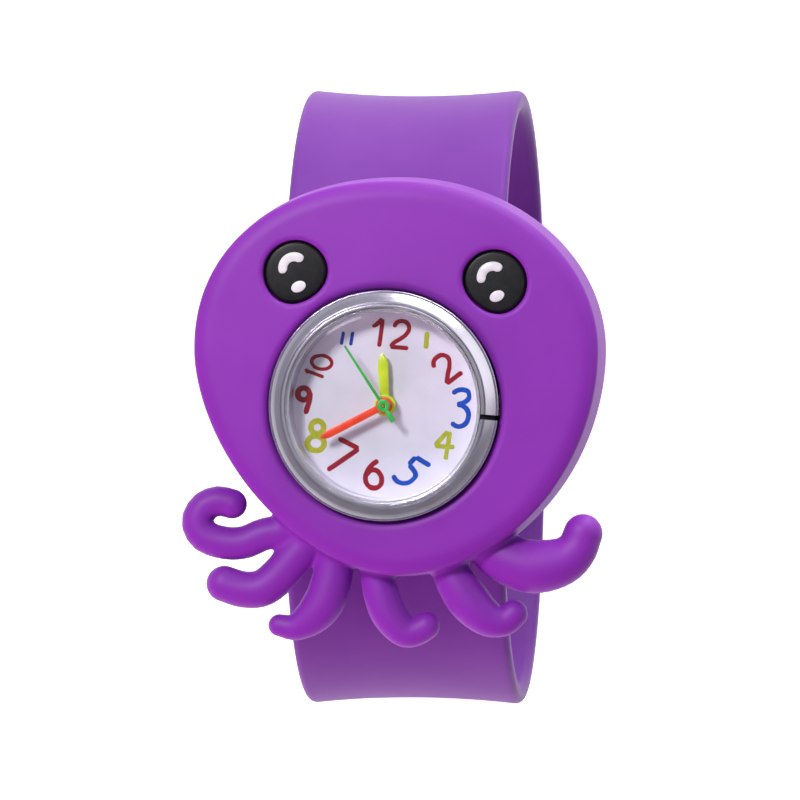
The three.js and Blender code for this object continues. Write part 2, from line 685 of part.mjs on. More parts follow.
// Bright case: a narrow can for the movement, a wider barrel for the dial and a stepped bezel.
function watchCase() {
  const bore = LENS_RADIUS + SEAT;
  const top = lensZ + LENS_THICKNESS / 2;
  const profile = [
    [canInner, canZ], [CAN_RADIUS, canZ], [CAN_RADIUS, shoulderZ], [barrelRadius, shoulderZ],
    [barrelRadius, rimZ], [BEZEL_RADIUS, rimZ + BEZEL_RIM / 2], [BEZEL_RADIUS, rimZ + BEZEL_RIM],
    [barrelRadius, rimZ + BEZEL_RIM + BEZEL_RIM_CHAMFER],
    [bore + BEZEL_TOP_WIDTH, top], [bore, top], [bore, dialZ - SEAT], [canInner, dialZ - SEAT],
  ];
  const slotReach = BEZEL_RADIUS - bore + BEZEL_RIM;
  const slot = new THREE.BoxGeometry(slotReach, BEZEL_SLOT_WIDTH, 2 * BEZEL_SLOT_DEPTH);
  slot.translate(bore + slotReach / 2 - SEAT, 0, top);
  slot.rotateZ(radians(BEZEL_SLOT_TURN));
  const through = 2 * CASE_WALL;
  const stemHole = rod(STEM_RADIUS + PIVOT_PLAY, CAN_RADIUS - through, CAN_RADIUS + through, origin2, 12);
  alongX(stemHole);
  return geometryOf(solid(turned(profile)).subtract(solid(slot)).subtract(solid(stemHole)));
}

function caseBack() {
  const plug = canInner - FIT;
  const plugInner = plug - CASE_WALL;
  return turned([
    [0, backZ], [CAN_RADIUS - BACK_BEVEL, backZ], [CAN_RADIUS, backZ + BACK_BEVEL], [CAN_RADIUS, backTop],
    [plug, backTop], [plug, backTop + BACK_PLUG],
    [plugInner, backTop + BACK_PLUG], [plugInner, backTop], [0, backTop],
  ], 24);
}

function backGasket() {
  const from = backTop + SEAT;
  const inner = canInner - SEAT;
  const outer = CAN_RADIUS - 3 * SEAT;
  const to = from + GASKET_HEIGHT;
  return tube(inner, outer, from, to, 24);
}

function lens() {
  const bevelZ = lensTop - LENS_BEVEL;
  return turned([
    [0, lensZ], [LENS_RADIUS, lensZ], [LENS_RADIUS, bevelZ],
    [LENS_RADIUS - LENS_BEVEL, lensTop - LENS_EDGE_DROP],
    [LENS_RADIUS - LENS_ROUNDING, lensTop], [0, lensTop],
  ]);
}

function spacerRing() {
  const outer = LENS_RADIUS - SEAT;
  const inner = outer - SPACER_WALL;
  const from = dialTop + SEAT;
  const to = lensZ - SEAT;
  return turned([[inner, from], [outer, from], [outer, to], [inner + SPACER_WALL / 3, to]]);
}

function dial() {
  const hole = hourTubeOuter + FIT;
  return tube(hole, dialRadius, dialZ, dialTop, 32);
}

// Toothed wheel or pinion outline; a tooth points along phase.
function gearShape(teeth, modulus, phase, hole) {
  const pitch = modulus * teeth / 2;
  const tip = pitch + ADDENDUM * modulus;
  const root = pitch - DEDENDUM * modulus;
  const step = 2 * Math.PI / teeth;
  const points = [];
  for (let i = 0; i < teeth; i++) {
    for (const [radius, share] of [[root, -1 / 2], [tip, -TOOTH_TIP], [tip, TOOTH_TIP]]) {
      const angle = phase + (i + share) * step;
      points.push(new THREE.Vector2(radius * Math.cos(angle), radius * Math.sin(angle)));
    }
  }
  const shape = new THREE.Shape(points);
  if (hole > 0) shape.holes.push(roundHole(hole, origin2, 12));
  return shape;
}

function gear(teeth, modulus, phase, from, height, at = origin2, hole = 0) {
  return slab(gearShape(teeth, modulus, phase, hole), from, height, 6).translate(at.x, at.y, 0);
}

// Module of a pair that meshes over a given distance, and the phases that set a tooth in a gap.
function pairModule(distance, teethA, teethB) {
  return 2 * distance / (teethA + teethB);
}

function gapPhase(towards, teeth) {
  return towards + Math.PI + Math.PI / teeth;
}

const rotorModule = pairModule(ROTOR_DISTANCE, ROTOR_TEETH, INTERMEDIATE_TEETH);
const intermediateModule = pairModule(INTERMEDIATE_DISTANCE, INTERMEDIATE_LEAVES, SECOND_TEETH);
const secondModule = pairModule(THIRD_DISTANCE, SECOND_LEAVES, THIRD_TEETH);
const thirdModule = pairModule(THIRD_DISTANCE, THIRD_LEAVES, CENTRE_TEETH);
const cannonModule = pairModule(MINUTE_DISTANCE, CANNON_LEAVES, MINUTE_TEETH);
const hourModule = pairModule(MINUTE_DISTANCE, MINUTE_LEAVES, HOUR_TEETH);
const pinionInset = (PINION_HEIGHT - WHEEL_THICKNESS) / 2;
const pivotZ = bridgeZ + SEAT;
const pivotTop = plateTop - SEAT;

function rotor() {
  const towards = radians(ROTOR_BEARING) + Math.PI;
  return geometryOf(join(
    rod(MAGNET_RADIUS, magnetZ, magnetZ + MAGNET_HEIGHT, rotorAt, 16),
    rod(ARBOR_RADIUS, pivotZ, pivotTop, rotorAt),
    gear(ROTOR_TEETH, rotorModule, towards, intermediateWheelZ - pinionInset, PINION_HEIGHT, rotorAt),
  ));
}

function intermediateWheel() {
  const at = intermediateAt;
  const phase = gapPhase(radians(ROTOR_BEARING) + Math.PI, INTERMEDIATE_TEETH);
  const towards = radians(INTERMEDIATE_BEARING) + Math.PI;
  const from = secondWheelZ - pinionInset;
  return geometryOf(join(
    gear(INTERMEDIATE_TEETH, rotorModule, phase, intermediateWheelZ, WHEEL_THICKNESS, at),
    gear(INTERMEDIATE_LEAVES, intermediateModule, towards, from, intermediateWheelZ + SEAT - from, at),
    rod(ARBOR_RADIUS, pivotZ, pivotTop, at),
  ));
}

function secondWheel() {
  const phase = gapPhase(radians(INTERMEDIATE_BEARING) + Math.PI, SECOND_TEETH);
  const from = thirdWheelZ - pinionInset;
  return geometryOf(join(
    gear(SECOND_TEETH, intermediateModule, phase, secondWheelZ, WHEEL_THICKNESS),
    gear(SECOND_LEAVES, secondModule, radians(THIRD_BEARING), from, secondWheelZ + SEAT - from),
    rod(ARBOR_RADIUS, pivotZ, secondHandZ + 2 * HAND_THICKNESS),
  ));
}

function thirdWheel() {
  const phase = gapPhase(radians(THIRD_BEARING), THIRD_TEETH);
  const towards = radians(THIRD_BEARING) + Math.PI;
  const from = centreWheelZ - pinionInset;
  return geometryOf(join(
    gear(THIRD_TEETH, secondModule, phase, thirdWheelZ, WHEEL_THICKNESS, thirdAt),
    gear(THIRD_LEAVES, thirdModule, towards, from, PINION_HEIGHT, thirdAt),
    rod(ARBOR_RADIUS, pivotZ, pivotTop, thirdAt),
  ));
}

function centreWheel() {
  const phase = gapPhase(radians(THIRD_BEARING) + Math.PI, CENTRE_TEETH);
  const tubeTop = minuteWheelZ + WHEEL_THICKNESS / 2;
  const from = centreWheelZ + WHEEL_THICKNESS / 2;
  return geometryOf(join(
    gear(CENTRE_TEETH, thirdModule, phase, centreWheelZ, WHEEL_THICKNESS, origin2, centreTubeInner),
    tube(centreTubeInner, centreTubeOuter, from, tubeTop),
  ));
}

function cannonPinion() {
  const from = minuteWheelZ - SEAT / 2;
  const pinionTop = minuteWheelZ + WHEEL_THICKNESS;
  const top = minuteHandZ + HAND_THICKNESS;
  const bore = rod(cannonBore, from - SEAT, minuteWheelZ + WHEEL_THICKNESS / 2 + SEAT, origin2, 12);
  const leaves = gear(CANNON_LEAVES, cannonModule, radians(MINUTE_BEARING), from, pinionTop - from);
  const body = join(leaves, rod(cannonOuter, from, top, origin2, 12));
  const arborHole = rod(cannonInner, from, top + SEAT, origin2, 12);
  return geometryOf(body.subtract(solid(bore)).subtract(solid(arborHole)));
}

function minuteWheel() {
  const phase = gapPhase(radians(MINUTE_BEARING), MINUTE_TEETH);
  const towards = radians(MINUTE_BEARING) + Math.PI;
  const leafHeight = hourWheelZ + WHEEL_THICKNESS - minuteWheelZ;
  return geometryOf(join(
    gear(MINUTE_TEETH, cannonModule, phase, minuteWheelZ, WHEEL_THICKNESS, minuteAt),
    gear(MINUTE_LEAVES, hourModule, towards, minuteWheelZ + SEAT, leafHeight, minuteAt),
    rod(ARBOR_RADIUS, plateZ + SEAT, minuteWheelZ + SEAT, minuteAt),
  ));
}

function hourWheel() {
  const phase = gapPhase(radians(MINUTE_BEARING) + Math.PI, HOUR_TEETH);
  const top = hourHandZ + HAND_THICKNESS;
  return geometryOf(join(
    gear(HOUR_TEETH, hourModule, phase, hourWheelZ, WHEEL_THICKNESS, origin2, hourTubeInner),
    tube(hourTubeInner, hourTubeOuter, hourWheelZ, top),
  ));
}

// A hand drawn pointing to 12, with a round hub, then turned to its place on the dial.
function hand(outline, hub, hole, from, angle) {
  const blade = new THREE.Shape(outline.map(([x, y]) => new THREE.Vector2(x, y)));
  const body = join(slab(blade, from, HAND_THICKNESS), rod(hub, from, from + HAND_THICKNESS, origin2, 12));
  const bore = rod(hole, from - SEAT, from + HAND_THICKNESS + SEAT, origin2, 12);
  return geometryOf(body.subtract(solid(bore))).rotateZ(-radians(angle));
}

function pointedBlade(length, width, tail) {
  const half = width / 2;
  return [[half, -tail], [half, length - width], [0, length], [-half, length - width], [-half, -tail]];
}

function hourHand() {
  const hole = hourTubeOuter + SEAT;
  const blade = pointedBlade(HOUR_LENGTH, HOUR_WIDTH, hole);
  return hand(blade, hole + HUB_WALL, hole, hourHandZ, HOUR_ANGLE);
}

function minuteHand() {
  const hole = cannonOuter + SEAT;
  const blade = pointedBlade(MINUTE_LENGTH, MINUTE_WIDTH, hole);
  return hand(blade, hole + HUB_WALL, hole, minuteHandZ, MINUTE_ANGLE);
}

function secondHand() {
  const hole = ARBOR_RADIUS + SEAT;
  const half = SECOND_WIDTH / 2;
  const tip = SECOND_TIP_WIDTH / 2;
  const tail = SECOND_TAIL_WIDTH / 2;
  const blade = [
    [half, 0], [tip, SECOND_LENGTH], [-tip, SECOND_LENGTH], [-half, 0],
    [-tail, -SECOND_TAIL], [tail, -SECOND_TAIL],
  ];
  return hand(blade, hole + SECOND_HUB_WALL, hole, secondHandZ, SECOND_ANGLE);
}

const batteryAt = new THREE.Vector2(-batteryOffset, 0);
const arbors = [origin2, intermediateAt, rotorAt, thirdAt];

// Main plate on the dial side, with the pillars that carry the bridge.
function movementPlate() {
  const shape = new THREE.Shape(circlePoints(movementRadius, 32));
  shape.holes.push(roundHole(centreTubeOuter + TUBE_PLAY));
  for (const at of [intermediateAt, rotorAt, thirdAt, minuteAt]) {
    shape.holes.push(roundHole(ARBOR_RADIUS + PIVOT_PLAY, at));
  }
  const pillars = PILLAR_BEARINGS.map((degrees) => {
    const at = bearing(movementRadius - PILLAR_EDGE, degrees);
    return rod(PILLAR_RADIUS, bridgeTop + SEAT, plateZ + SEAT, at);
  });
  return geometryOf(join(slab(shape, plateZ, PLATE_THICKNESS), ...pillars));
}

// The bridge leaves the battery free and takes the lower pivots.
function trainBridge() {
  const shape = new THREE.Shape();
  const open = BATTERY_RADIUS + FIT;
  const sides = movementRadius ** 2 + batteryOffset ** 2 - open ** 2;
  const turn = Math.acos(sides / (2 * movementRadius * batteryOffset));
  const rim = bearing(movementRadius, 0).rotateAround(origin2, Math.PI - turn);
  const start = Math.atan2(rim.y, rim.x + batteryOffset);
  shape.absarc(0, 0, movementRadius, turn - Math.PI, Math.PI - turn);
  shape.absarc(-batteryOffset, 0, open, start, -start, true);
  for (const at of arbors) shape.holes.push(roundHole(ARBOR_RADIUS + PIVOT_PLAY, at));
  return slab(shape, bridgeZ, BRIDGE_THICKNESS, 10);
}

function battery() {
  const top = bridgeZ + BATTERY_HEIGHT;
  const bevel = BATTERY_BEVEL;
  const cap = BATTERY_RADIUS - BATTERY_CAP_INSET;
  return turned([
    [0, bridgeZ], [BATTERY_RADIUS - bevel, bridgeZ], [BATTERY_RADIUS, bridgeZ + bevel],
    [BATTERY_RADIUS, top - 2 * bevel], [BATTERY_RADIUS - bevel, top - bevel],
    [cap, top - bevel], [cap, top], [0, top],
  ], 16, batteryAt);
}

// Spring contact that runs from the bridge across the back of the battery.
function batteryClip() {
  const to = bridgeZ - 2 * SEAT;
  const from = to - CLIP_THICKNESS;
  const foot = BATTERY_RADIUS + FIT + CLIP_WIDTH;
  const shape = new THREE.Shape();
  shape.absarc(batteryAt.x, 0, CLIP_WIDTH / 2, Math.PI / 2, 1.5 * Math.PI);
  shape.lineTo(batteryAt.x + foot, -CLIP_WIDTH / 2);
  shape.lineTo(batteryAt.x + foot, CLIP_WIDTH / 2);
  return slab(shape, from, CLIP_THICKNESS, 4);
}

// Two flat poles round the rotor, joined to the ends of the coil's core.
function stator() {
  const from = magnetZ;
  const left = coilAt.x - COIL_LENGTH / 2 - COIL_END;
  const right = coilAt.x + COIL_LENGTH / 2 + COIL_END;
  const edge = rotorAt.y - MAGNET_RADIUS - STATOR_GAP;
  const upper = coilAt.y - COIL_RADIUS - FIT;
  const top = coilAt.y + COIL_CORE;
  const shape = new THREE.Shape();
  shape.moveTo(left, edge);
  shape.lineTo(right, edge);
  shape.lineTo(right, top);
  shape.lineTo(right - STATOR_FOOT, top);
  shape.lineTo(right - STATOR_FOOT, upper);
  shape.lineTo(left + STATOR_FOOT, upper);
  shape.lineTo(left + STATOR_FOOT, top);
  shape.lineTo(left, top);
  const eyelet = rod(MAGNET_RADIUS + STATOR_GAP + STATOR_RING, from, from + STATOR_THICKNESS, rotorAt, 16);
  const bore = rod(MAGNET_RADIUS + STATOR_GAP, from - SEAT, from + STATOR_THICKNESS + SEAT, rotorAt, 16);
  return geometryOf(join(slab(shape, from, STATOR_THICKNESS), eyelet).subtract(solid(bore)));
}

// Bobbin with flanges and winding on a flat core.
function coil() {
  const coreZ = magnetZ + STATOR_THICKNESS + SEAT;
  const half = COIL_LENGTH / 2;
  const inside = half - COIL_FLANGE;
  const wound = COIL_RADIUS - COIL_FLANGE_RISE;
  const bobbin = turned([
    [0, -half], [COIL_RADIUS, -half], [COIL_RADIUS, -inside], [wound, -inside],
    [wound, inside], [COIL_RADIUS, inside], [COIL_RADIUS, half], [0, half],
  ], 12);
  bobbin.rotateY(Math.PI / 2).translate(coilAt.x, coilAt.y, coreZ + COIL_CORE / 2);
  const core = box(COIL_LENGTH + 2 * COIL_END, 2 * COIL_CORE, coreZ, coreZ + COIL_CORE, coilAt);
  return geometryOf(join(bobbin, core));
}

function circuitBoard() {
  const outer = movementRadius - FIT;
  const shape = new THREE.Shape();
  shape.absarc(0, 0, outer, radians(BOARD_FROM), radians(BOARD_TO));
  shape.absarc(0, 0, outer - BOARD_WIDTH, radians(BOARD_TO), radians(BOARD_FROM), true);
  return slab(shape, plateZ - SEAT - BOARD_THICKNESS, BOARD_THICKNESS, 5);
}

function quartzCrystal() {
  const z = plateZ - 2 * SEAT - BOARD_THICKNESS - CRYSTAL_RADIUS;
  const y = CRYSTAL_EDGE + CRYSTAL_RADIUS - movementRadius;
  const can = rod(CRYSTAL_RADIUS, -CRYSTAL_LENGTH / 2, CRYSTAL_LENGTH / 2, origin2, 12);
  return can.rotateY(Math.PI / 2).translate(0, y, z);
}

const stemEnd = CAN_RADIUS - STEM_REACH;
const grooveX = stemEnd + GROOVE_INSET;
const crownX = CAN_RADIUS + FIT;

// The stem has a groove that the setting lever's fork holds.
function windingStem() {
  const groove = LEVER_THICKNESS / 2 + PIVOT_PLAY;
  return alongX(turned([
    [0, stemEnd], [STEM_RADIUS, stemEnd],
    [STEM_RADIUS, grooveX - groove], [GROOVE_RADIUS, grooveX - groove],
    [GROOVE_RADIUS, grooveX + groove], [STEM_RADIUS, grooveX + groove],
    [STEM_RADIUS, crownX + CROWN_LENGTH / 2], [0, crownX + CROWN_LENGTH / 2],
  ], 10));
}

function crown() {
  const outline = [];
  for (let i = 0; i < 2 * CROWN_RIBS; i++) {
    const radius = CROWN_RADIUS - (i % 2) * CROWN_RIB_DEPTH;
    const angle = Math.PI * i / CROWN_RIBS;
    outline.push(new THREE.Vector2(radius * Math.cos(angle), radius * Math.sin(angle)));
  }
  const knob = slab(new THREE.Shape(outline), crownX, CROWN_LENGTH);
  const socket = rod(STEM_RADIUS + SEAT, crownX - SEAT, crownX + CROWN_LENGTH / 2 + SEAT, origin2, 12);
  return alongX(geometryOf(solid(knob).subtract(solid(socket))));
}

// A forked plate under the main plate that moves with the stem.
function settingLever() {
  const half = LEVER_THICKNESS / 2;
  const slot = GROOVE_RADIUS + PIVOT_PLAY;
  const side = LEVER_HALF_WIDTH;
  const top = plateZ - SEAT;
  const shape = new THREE.Shape();
  shape.moveTo(-side, -LEVER_PRONG);
  shape.lineTo(-slot, -LEVER_PRONG);
  shape.lineTo(-slot, slot);
  shape.lineTo(slot, slot);
  shape.lineTo(slot, -LEVER_PRONG);
  shape.lineTo(side, -LEVER_PRONG);
  shape.lineTo(side, top - stemZ);
  shape.lineTo(-side, top - stemZ);
  const fork = slab(shape, -half, LEVER_THICKNESS);
  fork.rotateX(Math.PI / 2).rotateZ(Math.PI / 2).translate(grooveX, 0, stemZ);
  const tailAt = new THREE.Vector2(grooveX - half, 0);
  const tail = box(2 * STEM_RADIUS, 2 * side, top - LEVER_THICKNESS, top, tailAt);
  return geometryOf(join(fork, tail));
}

const silicone = { color: 0x7b3fa6, roughness: 0.55, metalness: 0 };
const springSteel = { color: 0x9a9ea3, roughness: 0.35, metalness: 1 };
const blackInlay = { color: 0x0c0a0d, roughness: 0.45, metalness: 0 };
const whiteInlay = { color: 0xf5f3f4, roughness: 0.5, metalness: 0 };
const chrome = { color: 0xd4d6d8, roughness: 0.12, metalness: 1 };
const steel = { color: 0xb4b7ba, roughness: 0.3, metalness: 1 };
const brass = { color: 0xc9a85a, roughness: 0.35, metalness: 1 };
const nylon = { color: 0xe8e6dd, roughness: 0.5, metalness: 0 };
const darkPlastic = { color: 0x2b2d30, roughness: 0.5, metalness: 0 };
const boardGreen = { color: 0x1f5a34, roughness: 0.5, metalness: 0 };
const copper = { color: 0xb5652e, roughness: 0.4, metalness: 1 };
const rubber = { color: 0x1a1a1c, roughness: 0.8, metalness: 0 };
const acrylic = { color: 0xf4f8fa, roughness: 0.05, metalness: 0 };
const dialWhite = { color: 0xeef1f6, roughness: 0.5, metalness: 0 };
const yellow = { color: 0xd9dc2a, roughness: 0.4, metalness: 0 };
const orange = { color: 0xee5a1c, roughness: 0.4, metalness: 0 };
const green = { color: 0x4fae3a, roughness: 0.4, metalness: 0 };

const watch = new THREE.Group();

function add(name, geometry, finish) {
  const mesh = new THREE.Mesh(geometry, new THREE.MeshStandardMaterial(finish));
  mesh.name = name;
  watch.add(mesh);
}

add('octopus_body', octopusBody(), silicone);
for (const [label, side] of [['left', -1], ['right', 1]]) {
  add(`${label}_eye`, eye(side), blackInlay);
  add(`${label}_glint_bean`, slab(beanShape(side, 0), glintFloor, GLINT_DEPTH, 3), whiteInlay);
  add(`${label}_glint_dot`, slab(dotShape(side, 0), glintFloor, GLINT_DEPTH, 6), whiteInlay);
}
add('spring_middle', middleLoft(springOutline, middleReach), springSteel);
for (const [label, side] of [['upper', 1], ['lower', -1]]) {
  for (let k = 1; k <= ARM_SEGMENTS; k++) {
    add(`${label}_strap_${k}`, strapSegment(k, side), silicone);
    add(`${label}_spring_${k}`, springSegment(k, side), springSteel);
  }
}
add('watch_case', watchCase(), chrome);
add('case_back', caseBack(), steel);
add('back_gasket', backGasket(), rubber);
add('lens', lens(), acrylic);
add('spacer_ring', spacerRing(), chrome);
add('dial', dial(), dialWhite);
add('movement_plate', movementPlate(), darkPlastic);
add('train_bridge', trainBridge(), steel);
add('battery', battery(), steel);
add('battery_clip', batteryClip(), brass);
add('circuit_board', circuitBoard(), boardGreen);
add('quartz_crystal', quartzCrystal(), steel);
add('coil', coil(), copper);
add('stator', stator(), steel);
add('rotor', rotor(), darkPlastic);
add('intermediate_wheel', intermediateWheel(), nylon);
add('second_wheel', secondWheel(), nylon);
add('third_wheel', thirdWheel(), nylon);
add('centre_wheel', centreWheel(), nylon);
add('cannon_pinion', cannonPinion(), brass);
add('minute_wheel', minuteWheel(), nylon);
add('hour_wheel', hourWheel(), nylon);
add('hour_hand', hourHand(), yellow);
add('minute_hand', minuteHand(), orange);
add('second_hand', secondHand(), green);
add('setting_lever', settingLever(), steel);
add('winding_stem', windingStem(), steel);
add('crown', crown(), chrome);

export default watch;
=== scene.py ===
# %% [markdown]
# # A toy watch on a slap band
# The watch is a purple silicone octopus that holds a small chrome watch, on a wide band that curls round a wrist.
# The CAD frame already gives every size and joint. Each cell below adds one piece or finish over that frame,
# in the same place, so that the hands can still turn.

# %% Load the frame
import json
import math

import bmesh
import bpy
import numpy as np
from mathutils import Matrix, Vector

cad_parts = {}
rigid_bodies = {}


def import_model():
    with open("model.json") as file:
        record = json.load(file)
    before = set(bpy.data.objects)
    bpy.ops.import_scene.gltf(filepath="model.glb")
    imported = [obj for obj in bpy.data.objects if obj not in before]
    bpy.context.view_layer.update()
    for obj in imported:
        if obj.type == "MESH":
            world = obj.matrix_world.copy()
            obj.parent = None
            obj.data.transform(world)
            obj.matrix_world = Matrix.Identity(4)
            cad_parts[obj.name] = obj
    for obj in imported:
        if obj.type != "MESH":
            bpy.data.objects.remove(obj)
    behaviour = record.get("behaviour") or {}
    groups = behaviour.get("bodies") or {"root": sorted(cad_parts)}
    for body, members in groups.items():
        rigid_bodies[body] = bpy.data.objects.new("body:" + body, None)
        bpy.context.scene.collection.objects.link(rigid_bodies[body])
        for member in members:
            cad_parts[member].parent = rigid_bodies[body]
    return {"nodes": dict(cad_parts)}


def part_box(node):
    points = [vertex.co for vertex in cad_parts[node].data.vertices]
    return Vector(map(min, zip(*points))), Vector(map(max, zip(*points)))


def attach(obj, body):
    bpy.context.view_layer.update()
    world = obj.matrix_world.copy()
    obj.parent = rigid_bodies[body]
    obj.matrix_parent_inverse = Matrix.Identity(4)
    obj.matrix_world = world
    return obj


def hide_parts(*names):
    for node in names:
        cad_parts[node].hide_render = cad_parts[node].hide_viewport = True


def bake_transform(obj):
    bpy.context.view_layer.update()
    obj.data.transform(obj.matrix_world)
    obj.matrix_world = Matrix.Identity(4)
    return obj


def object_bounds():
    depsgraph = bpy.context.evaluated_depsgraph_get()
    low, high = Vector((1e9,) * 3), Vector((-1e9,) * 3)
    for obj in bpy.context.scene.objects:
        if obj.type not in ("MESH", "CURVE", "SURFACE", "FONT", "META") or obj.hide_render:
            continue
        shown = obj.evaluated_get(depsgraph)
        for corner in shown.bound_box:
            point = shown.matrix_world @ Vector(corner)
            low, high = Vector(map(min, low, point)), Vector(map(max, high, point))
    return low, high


for spare in list(bpy.data.objects):
    bpy.data.objects.remove(spare)
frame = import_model()
cad_low, cad_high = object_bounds()
nodes = frame["nodes"]
MM = 0.001


def link_object(name, data):
    obj = bpy.data.objects.new(name, data)
    bpy.context.scene.collection.objects.link(obj)
    return obj


# %% [markdown]
# ## Camera
# The watch lies with its dial up, so the picture is taken from above, with 12 o'clock at the top of the image.
# A long lens from 0.8 m keeps the band's near and far edges almost the same width. The camera stands a little to
# the right and above, which shows the inside of the band on the right and the head's wall along its top.

# %% Camera
camera_distance = 0.8
yaw, pitch = math.radians(5.8), math.radians(1.5)
pixel, picture_width, sensor_width = 0.1081 * MM, 800, 36
aim_depth = 7 * MM
aim = Vector((11.5 * pixel, 4.5 * pixel, aim_depth))
back = Vector((math.sin(yaw) * math.cos(pitch), math.sin(pitch), math.cos(yaw) * math.cos(pitch)))
right = Vector((0, 1, 0)).cross(back).normalized()
above = back.cross(right)
camera = link_object("camera", bpy.data.cameras.new("camera"))
camera.matrix_world = Matrix.Translation(aim + camera_distance * back) @ Matrix(
    (right, above, back)).transposed().to_4x4()
camera.data.sensor_width = sensor_width
camera.data.lens = camera_distance / pixel / picture_width * sensor_width
camera.data.clip_start, camera.data.clip_end = 0.01, 20
bpy.context.scene.camera = camera
bpy.context.scene.view_settings.view_transform = "Standard"
print("camera lens", round(camera.data.lens), "mm")

# %% [markdown]
# ## Sums in node trees
# The sky, the finishes, the lens and the band all need small sums inside a node tree. Writing each as a call keeps
# a tree as short as its formula.

# %% A helper for sums
class Sums:
    """Arithmetic nodes in a node tree, written as calls."""

    def __init__(self, tree):
        self.tree = tree

    def __call__(self, operation, *values):
        node = self.tree.nodes.new("ShaderNodeMath")
        node.operation = operation
        for value, socket in zip(values, node.inputs):
            if isinstance(value, (int, float)):
                socket.default_value = value
            else:
                self.tree.links.new(value, socket)
        return node.outputs[0]

    def facing(self, direction, way):
        """How far a direction points this way."""
        node = self.tree.nodes.new("ShaderNodeVectorMath")
        node.operation = "DOT_PRODUCT"
        node.inputs[1].default_value = way
        self.tree.links.new(direction, node.inputs[0])
        return node.outputs["Value"]

    def spread(self, value, start, end, low=0.0, high=1.0):
        """Maps one range of values to another, and holds its ends."""
        node = self.tree.nodes.new("ShaderNodeMapRange")
        for socket, limit in zip(("From Min", "From Max", "To Min", "To Max"), (start, end, low, high)):
            node.inputs[socket].default_value = limit
        self.tree.links.new(value, node.inputs["Value"])
        return node.outputs[0]


def new_nodes(owner):
    owner.use_nodes = True
    owner.node_tree.nodes.clear()
    return owner.node_tree.nodes, owner.node_tree.links


print("sums ready")

# %% [markdown]
# ## Floor, sky and lamps
# The picture is a product shot on white. The floor lies under the lowest point of the loop. Its material adds a
# little of its own light for the rays that the camera sees, so that it reads as white and still takes a shadow.
# A small key lamp stands at the upper left, because the hands' shadows fall down and right. A low lamp beyond
# 12 o'clock lights the top of the head, a fill warms the side below, and the sky holds a dark and a light part
# with one white reflector card, because chrome shows nothing but what stands round it.

# %% Floor
def seen_rays(tree):
    """1 for the rays that the camera, glossy metal and clear plastic send out."""
    sums, rays = Sums(tree), tree.nodes.new("ShaderNodeLightPath").outputs
    mirrored = sums("MAXIMUM", rays["Is Camera Ray"], rays["Is Glossy Ray"])
    return sums("MAXIMUM", mirrored, rays["Is Transmission Ray"])


floor_paint = bpy.data.materials.new("floor_paint")
made, links = new_nodes(floor_paint)
paint, glow = made.new("ShaderNodeBsdfDiffuse"), made.new("ShaderNodeEmission")
paint.inputs["Color"].default_value = (0.8, 0.8, 0.8, 1)
own_light = 0.74
lift = Sums(floor_paint.node_tree)("MULTIPLY", seen_rays(floor_paint.node_tree), own_light)
links.new(lift, glow.inputs["Strength"])
both = made.new("ShaderNodeAddShader")
links.new(paint.outputs[0], both.inputs[0])
links.new(glow.outputs[0], both.inputs[1])
links.new(both.outputs[0], made.new("ShaderNodeOutputMaterial").inputs["Surface"])

floor_mesh = bpy.data.meshes.new("floor")
reach = 3.0
floor_level = cad_low.z - 0.1 * MM
floor_mesh.from_pydata(
    [(-reach, -reach, floor_level), (reach, -reach, floor_level), (reach, reach, floor_level),
     (-reach, reach, floor_level)], [], [(0, 1, 2, 3)])
floor_mesh.materials.append(floor_paint)
floor = link_object("floor", floor_mesh)
print("floor at", round(floor_level / MM, 1), "mm")

# %% Sky and lamps
sky = bpy.data.worlds.new("studio")
bpy.context.scene.world = sky
made, links = new_nodes(sky)
sums = Sums(sky.node_tree)
direction = made.new("ShaderNodeTexCoord").outputs["Generated"]
walls = made.new("ShaderNodeValToRGB")
for end, shade in zip(walls.color_ramp.elements, ((0.06, 0.045, 0.055, 1), (0.22, 0.22, 0.26, 1))):
    end.color = shade
light_side, card_side = (-0.1, 0.42, 0.25), (0.79, 0.36, 0.5)
links.new(sums("ADD", sums.facing(direction, light_side), 0.5), walls.inputs[0])
room, white = made.new("ShaderNodeBackground"), made.new("ShaderNodeBackground")
links.new(walls.outputs["Color"], room.inputs["Color"])
split = made.new("ShaderNodeSeparateXYZ")
links.new(direction, split.inputs[0])
low = sums.spread(split.outputs["Z"], 0.0, 0.15, 1.0, 0.2)
card = sums.spread(sums.facing(direction, card_side), 0.76, 0.9)
backdrop = sums("MULTIPLY", seen_rays(sky.node_tree), sums("MAXIMUM", low, card))
rays = made.new("ShaderNodeLightPath").outputs
choose = made.new("ShaderNodeMixShader")
links.new(sums("MAXIMUM", rays["Is Camera Ray"], backdrop), choose.inputs[0])
links.new(room.outputs[0], choose.inputs[1])
links.new(white.outputs[0], choose.inputs[2])
links.new(choose.outputs[0], made.new("ShaderNodeOutputWorld").inputs["Surface"])


def lamp(name, at, size, power, tint=(1, 1, 1), mirrored=True):
    """A square soft lamp that faces the watch; one that isn't mirrored leaves no spot on the chrome."""
    light = bpy.data.lights.new(name, "AREA")
    light.size, light.energy, light.color = size, power, tint
    stand = link_object(name, light)
    stand.location = at
    stand.visible_glossy = mirrored
    stand.rotation_mode = "QUATERNION"
    stand.rotation_quaternion = (-Vector(at)).to_track_quat("-Z", "Y")


lamp("key", (-0.19, 0.25, 0.50), 0.12, 2.15)
lamp("top", (0.18, 0.50, 0.08), 0.3, 2.2)
lamp("right", (0.44, 0.20, 0.28), 0.4, 0.25)
lamp("fill", (-0.24, -0.48, 0.20), 0.24, 2.4, (1.0, 0.70, 0.82), mirrored=False)
print("lamps: 4")

